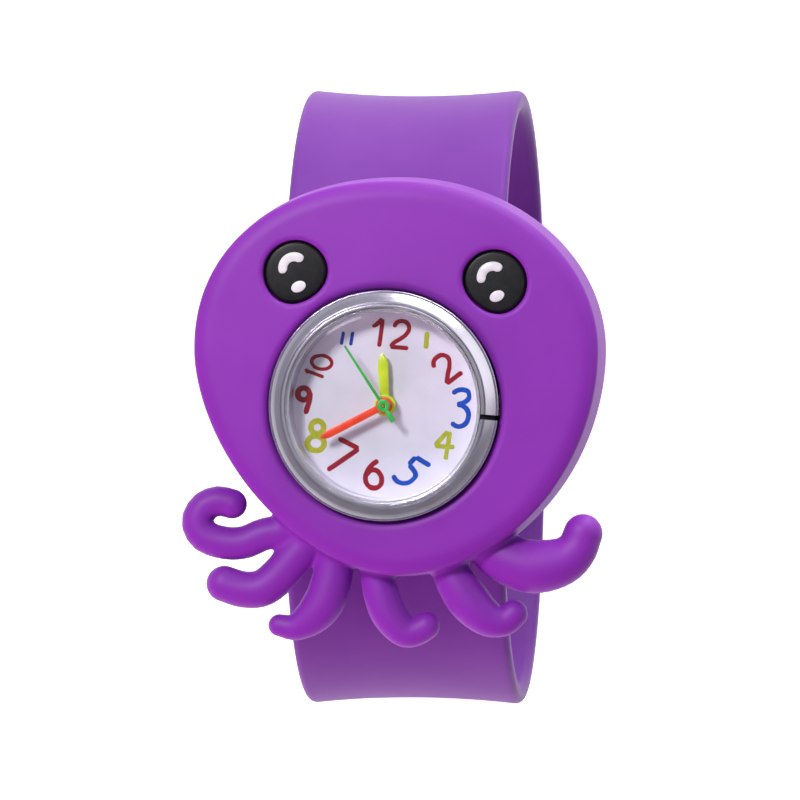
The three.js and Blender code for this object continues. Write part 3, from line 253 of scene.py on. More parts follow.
# %% [markdown]
# ## Finishes
# A real surface is never one flat colour. One helper makes the common recipe: slow noise shifts the colour,
# fine noise drives roughness and a shallow bump. Noise is set by its feature size in millimetres and reads Object
# coordinates, because every piece keeps its place in its mesh.

# %% A helper for finishes
def colour(red, green, blue):
    """A screen colour, 0 to 255, as the linear values that shaders use."""
    return tuple((v / 255) ** 2.2 for v in (red, green, blue)) + (1,)


def speckle(made, links, size, stretch=(1, 1, 1)):
    """Noise with features of about this size in millimetres."""
    place = made.new("ShaderNodeTexCoord")
    mapping = made.new("ShaderNodeMapping")
    mapping.inputs["Scale"].default_value = stretch
    noise = made.new("ShaderNodeTexNoise")
    noise.inputs["Scale"].default_value = 1 / (size * MM)
    noise.inputs["Detail"].default_value = 3.0
    links.new(place.outputs["Object"], mapping.inputs["Vector"])
    links.new(mapping.outputs["Vector"], noise.inputs["Vector"])
    return noise.outputs[0]


def finish(name, dark, light, patch=4.0, grain=0.2, rough=(0.4, 0.5), bump=0.02, metal=0.0,
           stretch=(1, 1, 1), **sockets):
    """A procedural finish: patchy colour, and fine grain in its roughness and bump."""
    material = bpy.data.materials.new(name)
    made, links = new_nodes(material)
    shader = made.new("ShaderNodeBsdfPrincipled")
    shader.inputs["Metallic"].default_value = metal
    for socket, value in sockets.items():
        shader.inputs[socket.replace("_", " ").title().replace("Ior", "IOR")].default_value = value
    ramp = made.new("ShaderNodeValToRGB")
    ramp.color_ramp.elements[0].position, ramp.color_ramp.elements[0].color = 0.3, dark
    ramp.color_ramp.elements[1].position, ramp.color_ramp.elements[1].color = 0.7, light
    links.new(speckle(made, links, patch), ramp.inputs[0])
    links.new(ramp.outputs["Color"], shader.inputs["Base Color"])
    fine = speckle(made, links, grain, stretch)
    links.new(Sums(material.node_tree).spread(fine, 0, 1, *rough), shader.inputs["Roughness"])
    relief = made.new("ShaderNodeBump")
    relief.inputs["Strength"].default_value = bump
    relief.inputs["Distance"].default_value = 0.1 * MM
    links.new(fine, relief.inputs["Height"])
    links.new(relief.outputs[0], shader.inputs["Normal"])
    links.new(shader.outputs[0], made.new("ShaderNodeOutputMaterial").inputs["Surface"])
    return material


print("finishes ready")

# %% [markdown]
# ## From a shape to a piece
# Each shape ends as a plain mesh, smooth except at real corners, in one finish, and on its body if it has one.

# %% Helpers for pieces
def dress(obj, material):
    obj.data.materials.clear()
    obj.data.materials.append(material)


def as_mesh(shape, name):
    """A bmesh as mesh data, with doubles merged and normals turned outwards."""
    bmesh.ops.remove_doubles(shape, verts=shape.verts, dist=1e-8)
    bmesh.ops.recalc_face_normals(shape, faces=shape.faces)
    data = bpy.data.meshes.new(name)
    shape.to_mesh(data)
    shape.free()
    return data


def join_rings(shape, rings):
    """Quads between each ring of points and the next."""
    for a, b in zip(rings, rings[1:]):
        for i in range(len(a)):
            shape.faces.new((a[i - 1], a[i], b[i], b[i - 1]))


def settled(obj):
    """The object's mesh with its modifiers applied; the object itself goes."""
    bpy.context.view_layer.update()
    data = bpy.data.meshes.new_from_object(obj.evaluated_get(bpy.context.evaluated_depsgraph_get()))
    bpy.data.objects.remove(obj)
    return data


def place_piece(shape, name, material, body, slot, *stands_for):
    """Turns a bmesh or mesh into a finished piece, which rides on a CAD body when one is given."""
    data = as_mesh(shape, name) if isinstance(shape, bmesh.types.BMesh) else shape
    data.polygons.foreach_set("use_smooth", [True] * len(data.polygons))
    data.set_sharp_from_angle(angle=math.radians(35))
    obj = link_object(name, data)
    dress(obj, material)
    if body:
        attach(obj, body)
    if stands_for:
        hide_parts(*stands_for)
    return obj


print("helpers ready")

# %% [markdown]
# ## Purple silicone
# The octopus and its band are moulded in soft silicone, a satin rubber that lets a little light in. Subsurface
# scattering gives that depth, and a fine grain keeps the highlights soft, as the mould's own matt surface does.

# %% Silicone finishes
silicone = finish("purple_silicone", colour(134, 44, 172), colour(140, 48, 178), patch=9, grain=0.12,
                  rough=(0.46, 0.58), bump=0.05, subsurface_weight=0.12, subsurface_scale=1.2 * MM,
                  specular_ior_level=0.4)
# The band is the same silicone in a darker, greyer copy of the head's colour. This is painted light: it stands in for
# how light falls on the band.
band_silicone_painted_light = finish("band_silicone_painted_light", colour(116, 58, 152), colour(122, 64, 158), patch=9, grain=0.12,
                       rough=(0.48, 0.58), bump=0.05, subsurface_weight=0.12, subsurface_scale=1.2 * MM,
                       specular_ior_level=0.15, sheen_weight=0.15, sheen_roughness=0.35)
for soft in (silicone, band_silicone_painted_light):
    soft.node_tree.nodes["Principled BSDF"].inputs["Subsurface Radius"].default_value = (0.8, 0.3, 1.0)
print("silicone ready")

# %% [markdown]
# ## The octopus
# Head, neck and arms are one moulding, with soft fillets wherever two forms meet. Joining meshes would leave
# hard seams, so the shape is written as a distance field: a number that is negative inside the rubber and grows
# outwards. Two fields blend with a soft minimum, and cuts with a rounded maximum. A grid of cells is then read,
# and each cell that the surface crosses gives one point of a net of quads, which is pulled exactly onto the surface.

# %% Fields for soft shapes
def soft_min(a, b, width):
    near = np.maximum(width - np.abs(a - b), 0.0) / width
    return np.minimum(a, b) - near * near * width / 4


def soft_max(a, b, width):
    return -soft_min(-a, -b, width)


def rounded_max(a, b, radius):
    corner = np.hypot(np.maximum(a + radius, 0.0), np.maximum(b + radius, 0.0))
    return np.minimum(np.maximum(a, b), -radius) + corner


HEAD_MIDDLE = np.array((1.15, 5.9))
HEAD_HALF = 22.3
HEAD_UP, HEAD_DOWN = 18.7, 24.6
HEAD_BACK, HEAD_FRONT, HEAD_DOME = 3.8, 11.7, 0.5
FRONT_ROLL, BACK_ROLL, WALL_LEAN, WALL_FROM = 2.9, 1.4, 0.08, 5.2
NECK_X, NECK_Y, NECK_CORNER, NECK_LOW, NECK_HIGH = 7.6, 8.0, 3.0, 1.5, 5.4


def head_quarter(side, rise):
    """Height and exponent of the outline in each quarter, 2 being an ellipse."""
    above = np.where(side > 0, 2.0, 2.17)
    below = np.where(side > 0, 1.95, 1.75)
    return np.where(rise > 0, HEAD_UP, HEAD_DOWN), np.where(rise > 0, above, below)


def head_field(x, y, z):
    """An egg-shaped plate with a rolled front edge, a plain wall and a rounded back."""
    side, rise = x - HEAD_MIDDLE[0], y - HEAD_MIDDLE[1]
    tall, power = head_quarter(side, rise)
    u, v = np.abs(side) / HEAD_HALF, np.abs(rise) / tall
    share = (u ** power + v ** power) ** (1 / power) + 1e-6
    slope = np.hypot((u / share) ** (power - 1) / HEAD_HALF, (v / share) ** (power - 1) / tall)
    edge = (share - 1) / np.maximum(slope, 0.02)
    dome = HEAD_FRONT + HEAD_DOME * (1 - np.minimum(share, 1) ** 2)
    front = rounded_max(edge - 0.5, z - dome, FRONT_ROLL)
    rear = rounded_max(edge, HEAD_BACK - z, BACK_ROLL)
    wall = edge + WALL_LEAN * np.maximum(z - WALL_FROM, 0)
    return soft_max(soft_max(front, wall, 0.12), rear, 0.1)


def neck_field(x, y, z):
    across = np.maximum(np.abs(x) - NECK_X, 0)
    along = np.maximum(np.abs(y) - NECK_Y, 0)
    return np.maximum(np.hypot(across, along) - NECK_CORNER, np.maximum(NECK_LOW - z, z - NECK_HIGH))


print("head and neck ready")

# %% [markdown]
# Six arms leave the lower edge of the head, each a tapering rod that bends and ends in a round tip. An arm is given
# by its angle round the head, its radius at the root, belly and tip, and the route of its middle line.

# %% Octopus arms
ARM_LEVEL = 7.33
OCTOPUS_ARMS = [
    (234, 1.75, 1.78, 1.6, [(-2.6, -0.7), (-4.8, -1.6), (-7.0, -1.6), (-9.1, -0.8), (-9.8, 0.7), (-9.0, 2.3),
                            (-7.5, 2.9), (-6.0, 2.6)]),
    (240, 2.0, 2.05, 1.95, [(-1.2, -1.5), (-3.2, -3.8), (-4.9, -5.0), (-6.9, -5.1), (-8.9, -4.5)]),
    (249, 2.2, 2.25, 1.2, [(-0.4, -2.2), (-1.1, -4.3), (-2.6, -6.2), (-4.5, -7.3), (-6.1, -7.1)]),
    (262, 1.65, 1.95, 1.5, [(0.6, -2.6), (1.4, -4.5), (3.1, -6.2), (4.5, -6.0), (5.3, -5.5)]),
    (285, 1.85, 2.3, 1.5, [(1.0, -1.9), (2.6, -4.0), (4.4, -5.4), (5.9, -5.5), (6.9, -4.7)]),
    (298, 2.2, 2.9, 2.1, [(2.0, -1.1), (4.2, -1.7), (7.5, -1.1), (9.0, 0.2), (9.7, 1.9)]),
]


def between(p, q, start, end, t):
    return (end - t) / (end - start) * p + (t - start) / (end - start) * q


def smooth_route(knots, count):
    """Points spaced evenly along a smooth curve through the knots."""
    p = np.vstack([2 * knots[0] - knots[1], knots, 2 * knots[-1] - knots[-2]])
    dense = []
    for a, b, c, d in zip(p, p[1:], p[2:], p[3:]):
        t1 = np.linalg.norm(b - a) ** 0.5
        t2 = t1 + np.linalg.norm(c - b) ** 0.5
        t3 = t2 + np.linalg.norm(d - c) ** 0.5
        t = np.linspace(t1, t2, 12, endpoint=False)[:, None]
        ab, bc, cd = between(a, b, 0, t1, t), between(b, c, t1, t2, t), between(c, d, t2, t3, t)
        dense.append(between(between(ab, bc, 0, t2, t), between(bc, cd, t1, t3, t), t1, t2, t))
    dense = np.vstack(dense + [knots[-1:]])
    run = np.concatenate([[0], np.cumsum(np.linalg.norm(np.diff(dense, axis=0), axis=1))])
    at = np.linspace(0, run[-1], count)
    return np.stack([np.interp(at, run, dense[:, i]) for i in range(2)], axis=1)


def arm_stations(turn, root, belly, tip, route):
    round_point = np.array((math.cos(math.radians(turn)), math.sin(math.radians(turn))))
    tall, power = head_quarter(*round_point)
    start = HEAD_MIDDLE + np.sign(round_point) * np.abs(round_point) ** (2 / power) * (HEAD_HALF, tall)
    inward = (HEAD_MIDDLE - start) / np.linalg.norm(HEAD_MIDDLE - start) * 3.0
    points = smooth_route(np.array([start + inward, start] + [start + np.array(p) for p in route]), 26)
    t = np.linspace(0, 1, len(points))
    swell = np.sin(np.pi * t) ** 2
    return points, (root + (tip - root) * t) * (1 - swell) + belly * swell


arms = [arm_stations(*arm) for arm in OCTOPUS_ARMS]


def arm_field(points, radii, x, y, z):
    """Distance to a chain of tapering rods, measured only near the arm."""
    result = np.full(x.shape, 9.0)
    low, high = points.min(0) - 4.5, points.max(0) + 4.5
    near = (x > low[0]) & (x < high[0]) & (y > low[1]) & (y < high[1])
    px, py, pz = x[near], y[near], (z[near] - ARM_LEVEL) / 0.92
    best = np.full(px.shape, 9.0)
    for a, b, ra, rb in zip(points, points[1:], radii, radii[1:]):
        step = b - a
        t = np.clip(((px - a[0]) * step[0] + (py - a[1]) * step[1]) / (step @ step), 0, 1)
        gap = np.sqrt((px - a[0] - t * step[0]) ** 2 + (py - a[1] - t * step[1]) ** 2 + pz ** 2)
        best = np.minimum(best, gap - (ra + t * (rb - ra)))
    result[near] = best
    return result


print("arms:", len(arms))

# %% [markdown]
# The head is cut for what it holds: two eye sockets, a stepped pocket for the watch, and a hollow for the crown. Only
# the pocket's mouth is well rounded. Deeper down the walls are thin, and a large rounding would eat through them.

# %% Cuts in the head
EYES = {"left": (-9.575, 14.25), "right": (11.875, 13.25)}
EYE_RADIUS, SOCKET_ROOM, SOCKET_FLOOR = 3.4, 0.15, 9.95
SEAT_RADIUS, SEAT_FLOOR, WELL_RADIUS, WELL_FLOOR, MOUTH_FROM = 12.5, 8.3, 10.1, 3.3, 8
CROWN_X, CROWN_HALF_X, CROWN_HALF_Y, CROWN_LOW, CROWN_HIGH = 11.3, 2.25, 1.8, 4.975, 8.6


def eye_radius(middle, angle):
    """The eye is round, but flatter on the side that faces the dial."""
    towards_dial = math.atan2(-middle[1], -middle[0])
    return EYE_RADIUS * (1 - 0.12 * np.maximum(np.cos(angle - towards_dial), 0) ** 3)


def socket_field(middle, x, y, z):
    dx, dy = x - middle[0], y - middle[1]
    rim = eye_radius(middle, np.arctan2(dy, dx))
    return np.maximum(np.hypot(dx, dy) - rim - SOCKET_ROOM, SOCKET_FLOOR - z)


def pocket_field(x, y, z):
    radius = np.hypot(x, y)
    seat = np.maximum(radius - SEAT_RADIUS, SEAT_FLOOR - z)
    return np.minimum(seat, np.maximum(radius - WELL_RADIUS, WELL_FLOOR - z))


def crown_field(x, y, z):
    """The hollow beside the well that leaves room for the crown."""
    plan = np.maximum(np.abs(x - CROWN_X) - CROWN_HALF_X, np.abs(y) - CROWN_HALF_Y)
    return np.maximum(plan, np.maximum(CROWN_LOW - z, z - CROWN_HIGH))


def octopus_field(x, y, z):
    body = soft_min(head_field(x, y, z), neck_field(x, y, z), 1.4)
    for points, radii in arms:
        body = soft_min(body, arm_field(points, radii, x, y, z), 0.7)
    pocket = -pocket_field(x, y, z)
    body = np.where(z > MOUTH_FROM, rounded_max(body, pocket, 0.9), rounded_max(body, pocket, 0.1))
    body = rounded_max(body, -crown_field(x, y, z), 0.1)
    for middle in EYES.values():
        body = rounded_max(body, -socket_field(middle, x, y, z), 0.4)
    return body


print("cuts ready")

# %% [markdown]
# The field is read on a grid. Each cell that the surface crosses gives one point, and neighbours join to quads. The
# net is evened out twice, and its points are then pulled onto the surface.

# %% A net of quads over a field
def surface_net(field, low, high, step):
    axes = [np.arange(a, b + step, step) for a, b in zip(low, high)]
    value = field(*np.meshgrid(*axes, indexing="ij"))
    inside = value < 0
    size = np.array(value.shape)
    corners = [np.array((i, j, k)) for i in (0, 1) for j in (0, 1) for k in (0, 1)]
    part = [tuple(slice(o, n - 1 + o) for o, n in zip(c, size)) for c in corners]
    count = sum(inside[p].astype(np.int8) for p in part)
    cut = (count > 0) & (count < 8)
    number = np.full(cut.shape, -1)
    number[cut] = np.arange(cut.sum())
    cell = np.argwhere(cut)
    total, hits = np.zeros((len(cell), 3)), np.zeros(len(cell))
    for a in corners:
        for axis in range(3):
            if a[axis]:
                continue
            b = a + np.eye(3, dtype=int)[axis]
            va, vb = value[tuple((cell + a).T)], value[tuple((cell + b).T)]
            crossed = (va < 0) != (vb < 0)
            t = np.where(crossed, va / np.where(crossed, va - vb, 1), 0)
            total += crossed[:, None] * (a + t[:, None] * (b - a))
            hits += crossed
    points = np.array(low) + (cell + total / hits[:, None]) * step
    quads = []
    for axis in range(3):
        lower = [slice(None)] * 3
        upper = [slice(None)] * 3
        lower[axis], upper[axis] = slice(0, -1), slice(1, None)
        at = np.argwhere(inside[tuple(lower)] != inside[tuple(upper)])
        u, v = np.eye(3, dtype=int)[(axis + 1) % 3], np.eye(3, dtype=int)[(axis + 2) % 3]
        ring = np.stack([number[tuple((at - o).T)] for o in (0 * u, u, u + v, v)], axis=1)
        flip = inside[tuple(upper)][tuple(at.T)]
        ring[flip] = ring[flip][:, ::-1]
        quads.append(ring)
    return points, np.vstack(quads)


def pull_to_surface(field, points, rounds=3):
    h = 0.01
    for _ in range(rounds):
        slope = np.stack([field(*(points + h * e).T) - field(*(points - h * e).T) for e in np.eye(3)], axis=1)
        slope /= 2 * h
        points = points - (field(*points.T) / np.maximum((slope ** 2).sum(1), 0.2))[:, None] * slope
    return points


net_step = 0.27
net_low, net_high = (-25, -29, 1.2), (26, 26, 13.2)
points, quads = surface_net(octopus_field, net_low, net_high, net_step)
for _ in range(2):
    total, hits = np.zeros_like(points), np.zeros(len(points))
    for i in range(4):
        np.add.at(total, quads[:, i], points[quads[:, i - 1]])
        np.add.at(hits, quads[:, i], 1)
    points = 0.5 * points + 0.5 * total / hits[:, None]
points = pull_to_surface(octopus_field, points)
skin = bpy.data.meshes.new("octopus_skin")
skin.from_pydata((points * MM).tolist(), [], quads.tolist())
place_piece(skin, "octopus_skin", silicone, "octopus", "silicone", "octopus_body")
skin.set_sharp_from_angle(angle=math.radians(70))
print("octopus:", len(skin.vertices), "points,", len(skin.polygons), "quads")

# %% [markdown]
# ## The slap band
# The band is one flat silicone sleeve that curls round the wrist. It follows a rule: a straight bar is bent along
# two half circles, and its edges are dished outwards. Geometry Nodes do the bending, with the loop's sizes as
# inputs. Each arm of the band is cut at the middle of every rigid length. Only the middle piece and the two end
# pieces ride on a body.

# %% A straight sleeve
BAND_HALF, BAND_THICK, BAND_EDGE = 12.0, 1.2, 0.9
LOOP_RADIUS, FLAT_HALF, END_CORNER, END_GAP_HALF = 26.6, 6.0, 7.0, 1.5
ARC = LOOP_RADIUS * math.pi
BAND_END = FLAT_HALF + ARC + FLAT_HALF - END_GAP_HALF


def sleeve_ring(half, thick):
    """A rounded rectangle of points, with enough along its flats to follow the dish."""
    edge = min(BAND_EDGE, thick)
    ring = []
    for sx, sz, first in ((1, 1, 0), (-1, 1, 90), (-1, -1, 180), (1, -1, 270)):
        for i in range(7):
            a = math.radians(first + 15 * i)
            ring.append((sx * (half - edge) + edge * math.cos(a), sz * (thick - edge) + edge * math.sin(a)))
        if sx == sz:
            flat = np.linspace(sx * (half - edge), -sx * (half - edge), 14)[1:-1]
            ring += [(x, sz * thick) for x in flat]
    return ring


def half_width(along):
    reach = along - (BAND_END - END_CORNER)
    if reach <= 0:
        return BAND_HALF
    return BAND_HALF - END_CORNER + math.sqrt(max(END_CORNER ** 2 - reach ** 2, 0.3))


def straight_sleeve(start, end):
    mesh = bmesh.new()
    count = max(2, round((end - start) / 0.6))
    stations = [(a, 1.0) for a in np.linspace(start, end, count + 1)]
    stations[1:1] = [(start + 0.05, 1.0)]
    if end > BAND_END - 0.01:
        stations = [s for s in stations if s[0] < BAND_END - BAND_EDGE]
        for turn in range(0, 91, 15):
            a = math.radians(turn)
            stations.append((BAND_END - BAND_EDGE * (1 - math.sin(a)), 1 - 0.75 * (1 - math.cos(a))))
    else:
        stations[-1:-1] = [(end - 0.05, 1.0)]
    rings = []
    for along, full in stations:
        side = half_width(along) - BAND_EDGE * (1 - full)
        rings.append([mesh.verts.new((x, along, z)) for x, z in sleeve_ring(side, BAND_THICK * full)])
    join_rings(mesh, rings)
    mesh.faces.new(rings[0])
    mesh.faces.new(rings[-1][::-1])
    for vertex in mesh.verts:
        vertex.co *= MM
    data = bpy.data.meshes.new("straight_sleeve")
    mesh.to_mesh(data)
    mesh.free()
    return data


print("band:", round(2 * BAND_END, 1), "mm long when flat")

# %% [markdown]
# The tree reads each point's distance along the straight bar, works out its angle round the loop, lifts it by the
# dish and sets its new place.

# %% Bend the sleeve with Geometry Nodes
def new_tree(name, **inputs):
    """A tree with a geometry input and output, and named number inputs."""
    tree = bpy.data.node_groups.new(name, "GeometryNodeTree")
    tree.interface.new_socket("Geometry", in_out="INPUT", socket_type="NodeSocketGeometry")
    for label, value in inputs.items():
        socket = tree.interface.new_socket(label, in_out="INPUT", socket_type="NodeSocketFloat")
        socket.default_value = value
    tree.interface.new_socket("Finish", in_out="INPUT", socket_type="NodeSocketMaterial")
    tree.interface.new_socket("Geometry", in_out="OUTPUT", socket_type="NodeSocketGeometry")
    entry, leave = tree.nodes.new("NodeGroupInput"), tree.nodes.new("NodeGroupOutput")
    return tree, entry, leave


def place_parts(tree):
    """The x, y and z of each point."""
    where, parts = tree.nodes.new("GeometryNodeInputPosition"), tree.nodes.new("ShaderNodeSeparateXYZ")
    tree.links.new(where.outputs[0], parts.inputs[0])
    return parts.outputs


def moved(tree, geometry, *place):
    """The geometry with each point at its new x, y and z."""
    target, move = tree.nodes.new("ShaderNodeCombineXYZ"), tree.nodes.new("GeometryNodeSetPosition")
    for value, socket in zip(place, target.inputs):
        tree.links.new(value, socket)
    tree.links.new(geometry, move.inputs["Geometry"])
    tree.links.new(target.outputs[0], move.inputs["Position"])
    return move.outputs[0]


def end_tree(tree, geometry, entry, leave):
    """Every tree ends in Realize Instances and Set Material."""
    whole, paint = tree.nodes.new("GeometryNodeRealizeInstances"), tree.nodes.new("GeometryNodeSetMaterial")
    tree.links.new(geometry, whole.inputs[0])
    tree.links.new(whole.outputs[0], paint.inputs["Geometry"])
    tree.links.new(entry.outputs["Finish"], paint.inputs["Material"])
    tree.links.new(paint.outputs[0], leave.inputs[0])


def grow(source, tree, name, material, **values):
    """Runs a tree on a mesh or curve and returns the result as a plain mesh."""
    obj = link_object(name, source)
    modifier = obj.modifiers.new("grow", "NODES")
    modifier.node_group = tree
    for item in tree.interface.items_tree:
        if item.in_out == "INPUT" and item.name in values:
            modifier[item.identifier] = values[item.name]
        if item.in_out == "INPUT" and item.name == "Finish":
            modifier[item.identifier] = material
    return settled(obj)


DISH, DISH_RAMP = 0.7, math.radians(18)
curl, entry, leave = new_tree("curl_the_band", Radius=LOOP_RADIUS * MM, Flat=FLAT_HALF * MM, Dish=DISH * MM,
                              Half=BAND_HALF * MM, Level=BAND_THICK * MM, Side=1.0)
sums = Sums(curl)
across, along, through = place_parts(curl)
given = entry.outputs
curved = sums("SUBTRACT", along, given["Flat"])
angle = sums("MINIMUM", sums("MAXIMUM", sums("DIVIDE", curved, given["Radius"]), 0), math.pi)
past = sums("MAXIMUM", sums("SUBTRACT", curved, sums("MULTIPLY", given["Radius"], math.pi)), 0)
ramp = sums("MINIMUM", sums("DIVIDE", angle, DISH_RAMP), 1)
ramp = sums("MULTIPLY", sums("MULTIPLY", ramp, ramp), sums("SUBTRACT", 3, sums("MULTIPLY", ramp, 2)))
share = sums("DIVIDE", across, given["Half"])
lift = sums("MULTIPLY", sums("MULTIPLY", share, share), sums("MULTIPLY", ramp, given["Dish"]))
out = sums("ADD", through, lift)
sine, cosine = sums("SINE", angle), sums("COSINE", angle)
forward = sums("ADD", sums("MINIMUM", along, given["Flat"]),
               sums("SUBTRACT", sums("MULTIPLY", sums("ADD", given["Radius"], out), sine), past))
drop = sums("MULTIPLY", given["Radius"], sums("SUBTRACT", 1, cosine))
height = sums("ADD", sums("SUBTRACT", given["Level"], drop), sums("MULTIPLY", out, cosine))
bent = moved(curl, given["Geometry"], across, sums("MULTIPLY", forward, given["Side"]), height)
end_tree(curl, bent, entry, leave)


def mid_line(side, turn):
    """Point on the band's middle line at this many degrees round the loop, in metres."""
    a = math.radians(turn)
    return Vector((0, side * (FLAT_HALF + LOOP_RADIUS * math.sin(a)),
                   BAND_THICK - LOOP_RADIUS * (1 - math.cos(a)))) * MM


def curled(start, end, side, name):
    mesh = bmesh.new()
    mesh.from_mesh(grow(straight_sleeve(start, end), curl, name, band_silicone_painted_light, Side=side))
    return mesh


def along_at(turn):
    return FLAT_HALF + LOOP_RADIUS * math.radians(turn)


HINGE_STEP, BLEND_MARGIN = 36, 1.5
place_piece(curled(-FLAT_HALF, FLAT_HALF, 1.0, "band_middle"), "band_middle", band_silicone_painted_light, "octopus",
            "strap_silicone")
for arm, side in (("upper", 1.0), ("lower", -1.0)):
    for k in range(1, 6):
        name, first, last = f"{arm}_band_{k}", HINGE_STEP * (k - 1), HINGE_STEP * k
        data = curled(along_at(first), along_at(last), side, name)
        piece = place_piece(data, name, band_silicone_painted_light, None, "strap_silicone", f"{arm}_strap_{k}")
        start, end = mid_line(side, first + BLEND_MARGIN), mid_line(side, last - BLEND_MARGIN)
        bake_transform(piece)
    tail = curled(along_at(180), BAND_END, side, f"{arm}_band_end")
    place_piece(tail, f"{arm}_band_end", band_silicone_painted_light, f"{arm}_5", "strap_silicone")
print("band: 13 pieces")

# %% [markdown]
# ## Eyes
# Each eye is a black soft inlay set into a socket, slightly domed, with its rim rounded. The white glints are a
# bent bean and a small oval poured into it. The inlay is built as rings of one outline: up the side, round the
# rim, and over a low dome.

# %% Eyes and glints
black_inlay = finish("black_inlay", colour(16, 15, 18), colour(30, 28, 32), patch=0.9, grain=0.15,
                     rough=(0.34, 0.5), bump=0.06, specular_ior_level=0.35)
white_inlay = finish("white_inlay", colour(226, 222, 230), colour(242, 240, 244), patch=0.7, grain=0.12,
                     rough=(0.3, 0.42), bump=0.04)


def pillow(outline, middle, floor, face, edge, dome):
    """A flat body with a rounded rim and a low dome, from an outline round its middle."""
    levels = [(1.0, 0.0, floor)]
    reach = np.linalg.norm(outline - middle, axis=1).mean()
    for turn in range(0, 91, 15):
        a = math.radians(turn)
        levels.append((1.0, edge * (1 - math.cos(a)), face - edge * (1 - math.sin(a))))
    for share in (0.8, 0.6, 0.4, 0.2):
        levels.append((share, edge * share, face + dome * (1 - share ** 2)))
    mesh = bmesh.new()
    rings = []
    for share, inset, z in levels:
        ring = middle + (outline - middle) * (share - inset / reach)
        rings.append([mesh.verts.new((x * MM, y * MM, z * MM)) for x, y in ring])
    join_rings(mesh, rings)
    top = mesh.verts.new((middle[0] * MM, middle[1] * MM, (face + dome) * MM))
    for i in range(len(rings[-1])):
        mesh.faces.new((rings[-1][i - 1], rings[-1][i], top))
    mesh.faces.new(rings[0][::-1])
    return mesh


EYE_FACE, EYE_FLOOR, EYE_EDGE, EYE_DOME = 11.35, 10.15, 0.35, 0.1
round_angles = np.linspace(0, 2 * math.pi, 96, endpoint=False)
round_turn = np.stack([np.cos(round_angles), np.sin(round_angles)], axis=1)
for side, place in EYES.items():
    middle = np.array(place)
    outline = middle + round_turn * eye_radius(middle, round_angles)[:, None]
    place_piece(pillow(outline, middle, EYE_FLOOR, EYE_FACE, EYE_EDGE, EYE_DOME), f"{side}_eye_inlay", black_inlay,
                "octopus", "black_inlay", f"{side}_eye")
print("eyes:", len(EYES))

# %% [markdown]
# ## Brush strokes
# The glints and the dial's hand-drawn numbers are strokes: a line with a width, round ends and a little height.
# One Geometry Nodes tree makes them all. It spaces points along a curve, narrows the width to a half circle at
# both ends, sweeps a round section along the curve and presses it flat.

# %% A stroke tree
stroke, entry, leave = new_tree("stroke", Half=0.2 * MM, Height=0.02 * MM, Level=0.0, Spacing=0.05 * MM)
sums = Sums(stroke)
given = entry.outputs
resample = stroke.nodes.new("GeometryNodeResampleCurve")
resample.mode = "LENGTH"
stroke.links.new(given["Geometry"], resample.inputs["Curve"])
stroke.links.new(given["Spacing"], resample.inputs["Length"])
position, length = stroke.nodes.new("GeometryNodeSplineParameter"), stroke.nodes.new("GeometryNodeSplineLength")
cyclic = stroke.nodes.new("GeometryNodeInputSplineCyclic")
run = position.outputs["Length"]
from_end = sums("MINIMUM", run, sums("SUBTRACT", length.outputs["Length"], run))
t = sums("MAXIMUM", sums("SUBTRACT", 1, sums("DIVIDE", from_end, given["Half"])), 0)
t = sums("MULTIPLY", t, sums("SUBTRACT", 1, cyclic.outputs[0]))
taper = sums("SQRT", sums("MAXIMUM", sums("SUBTRACT", 1, sums("MULTIPLY", t, t)), 0.002))
section, sweep = stroke.nodes.new("GeometryNodeCurvePrimitiveCircle"), stroke.nodes.new("GeometryNodeCurveToMesh")
section.inputs["Resolution"].default_value = 12
section.inputs["Radius"].default_value = 1.0
stroke.links.new(resample.outputs[0], sweep.inputs["Curve"])
stroke.links.new(section.outputs["Curve"], sweep.inputs["Profile Curve"])
stroke.links.new(sums("MULTIPLY", taper, given["Half"]), sweep.inputs["Scale"])
sweep.inputs["Fill Caps"].default_value = True
x, y, z = place_parts(stroke)
flat = sums("ADD", sums("MULTIPLY", sums("DIVIDE", z, given["Half"]), given["Height"]), given["Level"])
end_tree(stroke, moved(stroke, sweep.outputs[0], x, y, flat), entry, leave)


def stroke_mesh(lines, half, height, level, name, material):
    """Strokes through lists of points in millimetres; a list that ends where it began is closed."""
    curve = bpy.data.curves.new(name, "CURVE")
    curve.dimensions = "3D"
    for line in lines:
        closed = line[0] == line[-1]
        line = line[:-1] if closed else line
        spline = curve.splines.new("BEZIER")
        spline.use_cyclic_u = closed
        spline.resolution_u = 16
        spline.bezier_points.add(len(line) - 1)
        for point, (x, y) in zip(spline.bezier_points, line):
            point.co = (x * MM, y * MM, 0)
            point.handle_left_type = point.handle_right_type = "AUTO"
    mesh = bmesh.new()
    mesh.from_mesh(grow(curve, stroke, name, material, Half=half * MM, Height=height * MM, Level=level * MM))
    return mesh


BEAN_RADIUS, BEAN_HALF, DOT_HALF, DOT_TILT = 1.23, 0.5, (0.86, 0.61), math.radians(25)
lean = np.array(((math.cos(DOT_TILT), math.sin(DOT_TILT)), (-math.sin(DOT_TILT), math.cos(DOT_TILT))))
for side, place in EYES.items():
    bend = [(place[0] - 0.18 + BEAN_RADIUS * math.cos(a), place[1] + 0.5 + BEAN_RADIUS * math.sin(a))
            for a in np.radians(np.linspace(42, 206, 9))]
    place_piece(stroke_mesh([bend], BEAN_HALF, 0.14, EYE_FACE + 0.06, f"{side}_bean", white_inlay), f"{side}_bean",
                white_inlay, "octopus", "white_inlay", f"{side}_glint_bean")
    middle = np.array((place[0] + 0.28, place[1] - 1.46))
    outline = middle + (round_turn * DOT_HALF) @ lean
    place_piece(pillow(outline, middle, EYE_FACE - 0.3, EYE_FACE + 0.12, 0.15, 0.05), f"{side}_dot", white_inlay,
                "octopus", "white_inlay", f"{side}_glint_dot")
print("glints: 4")

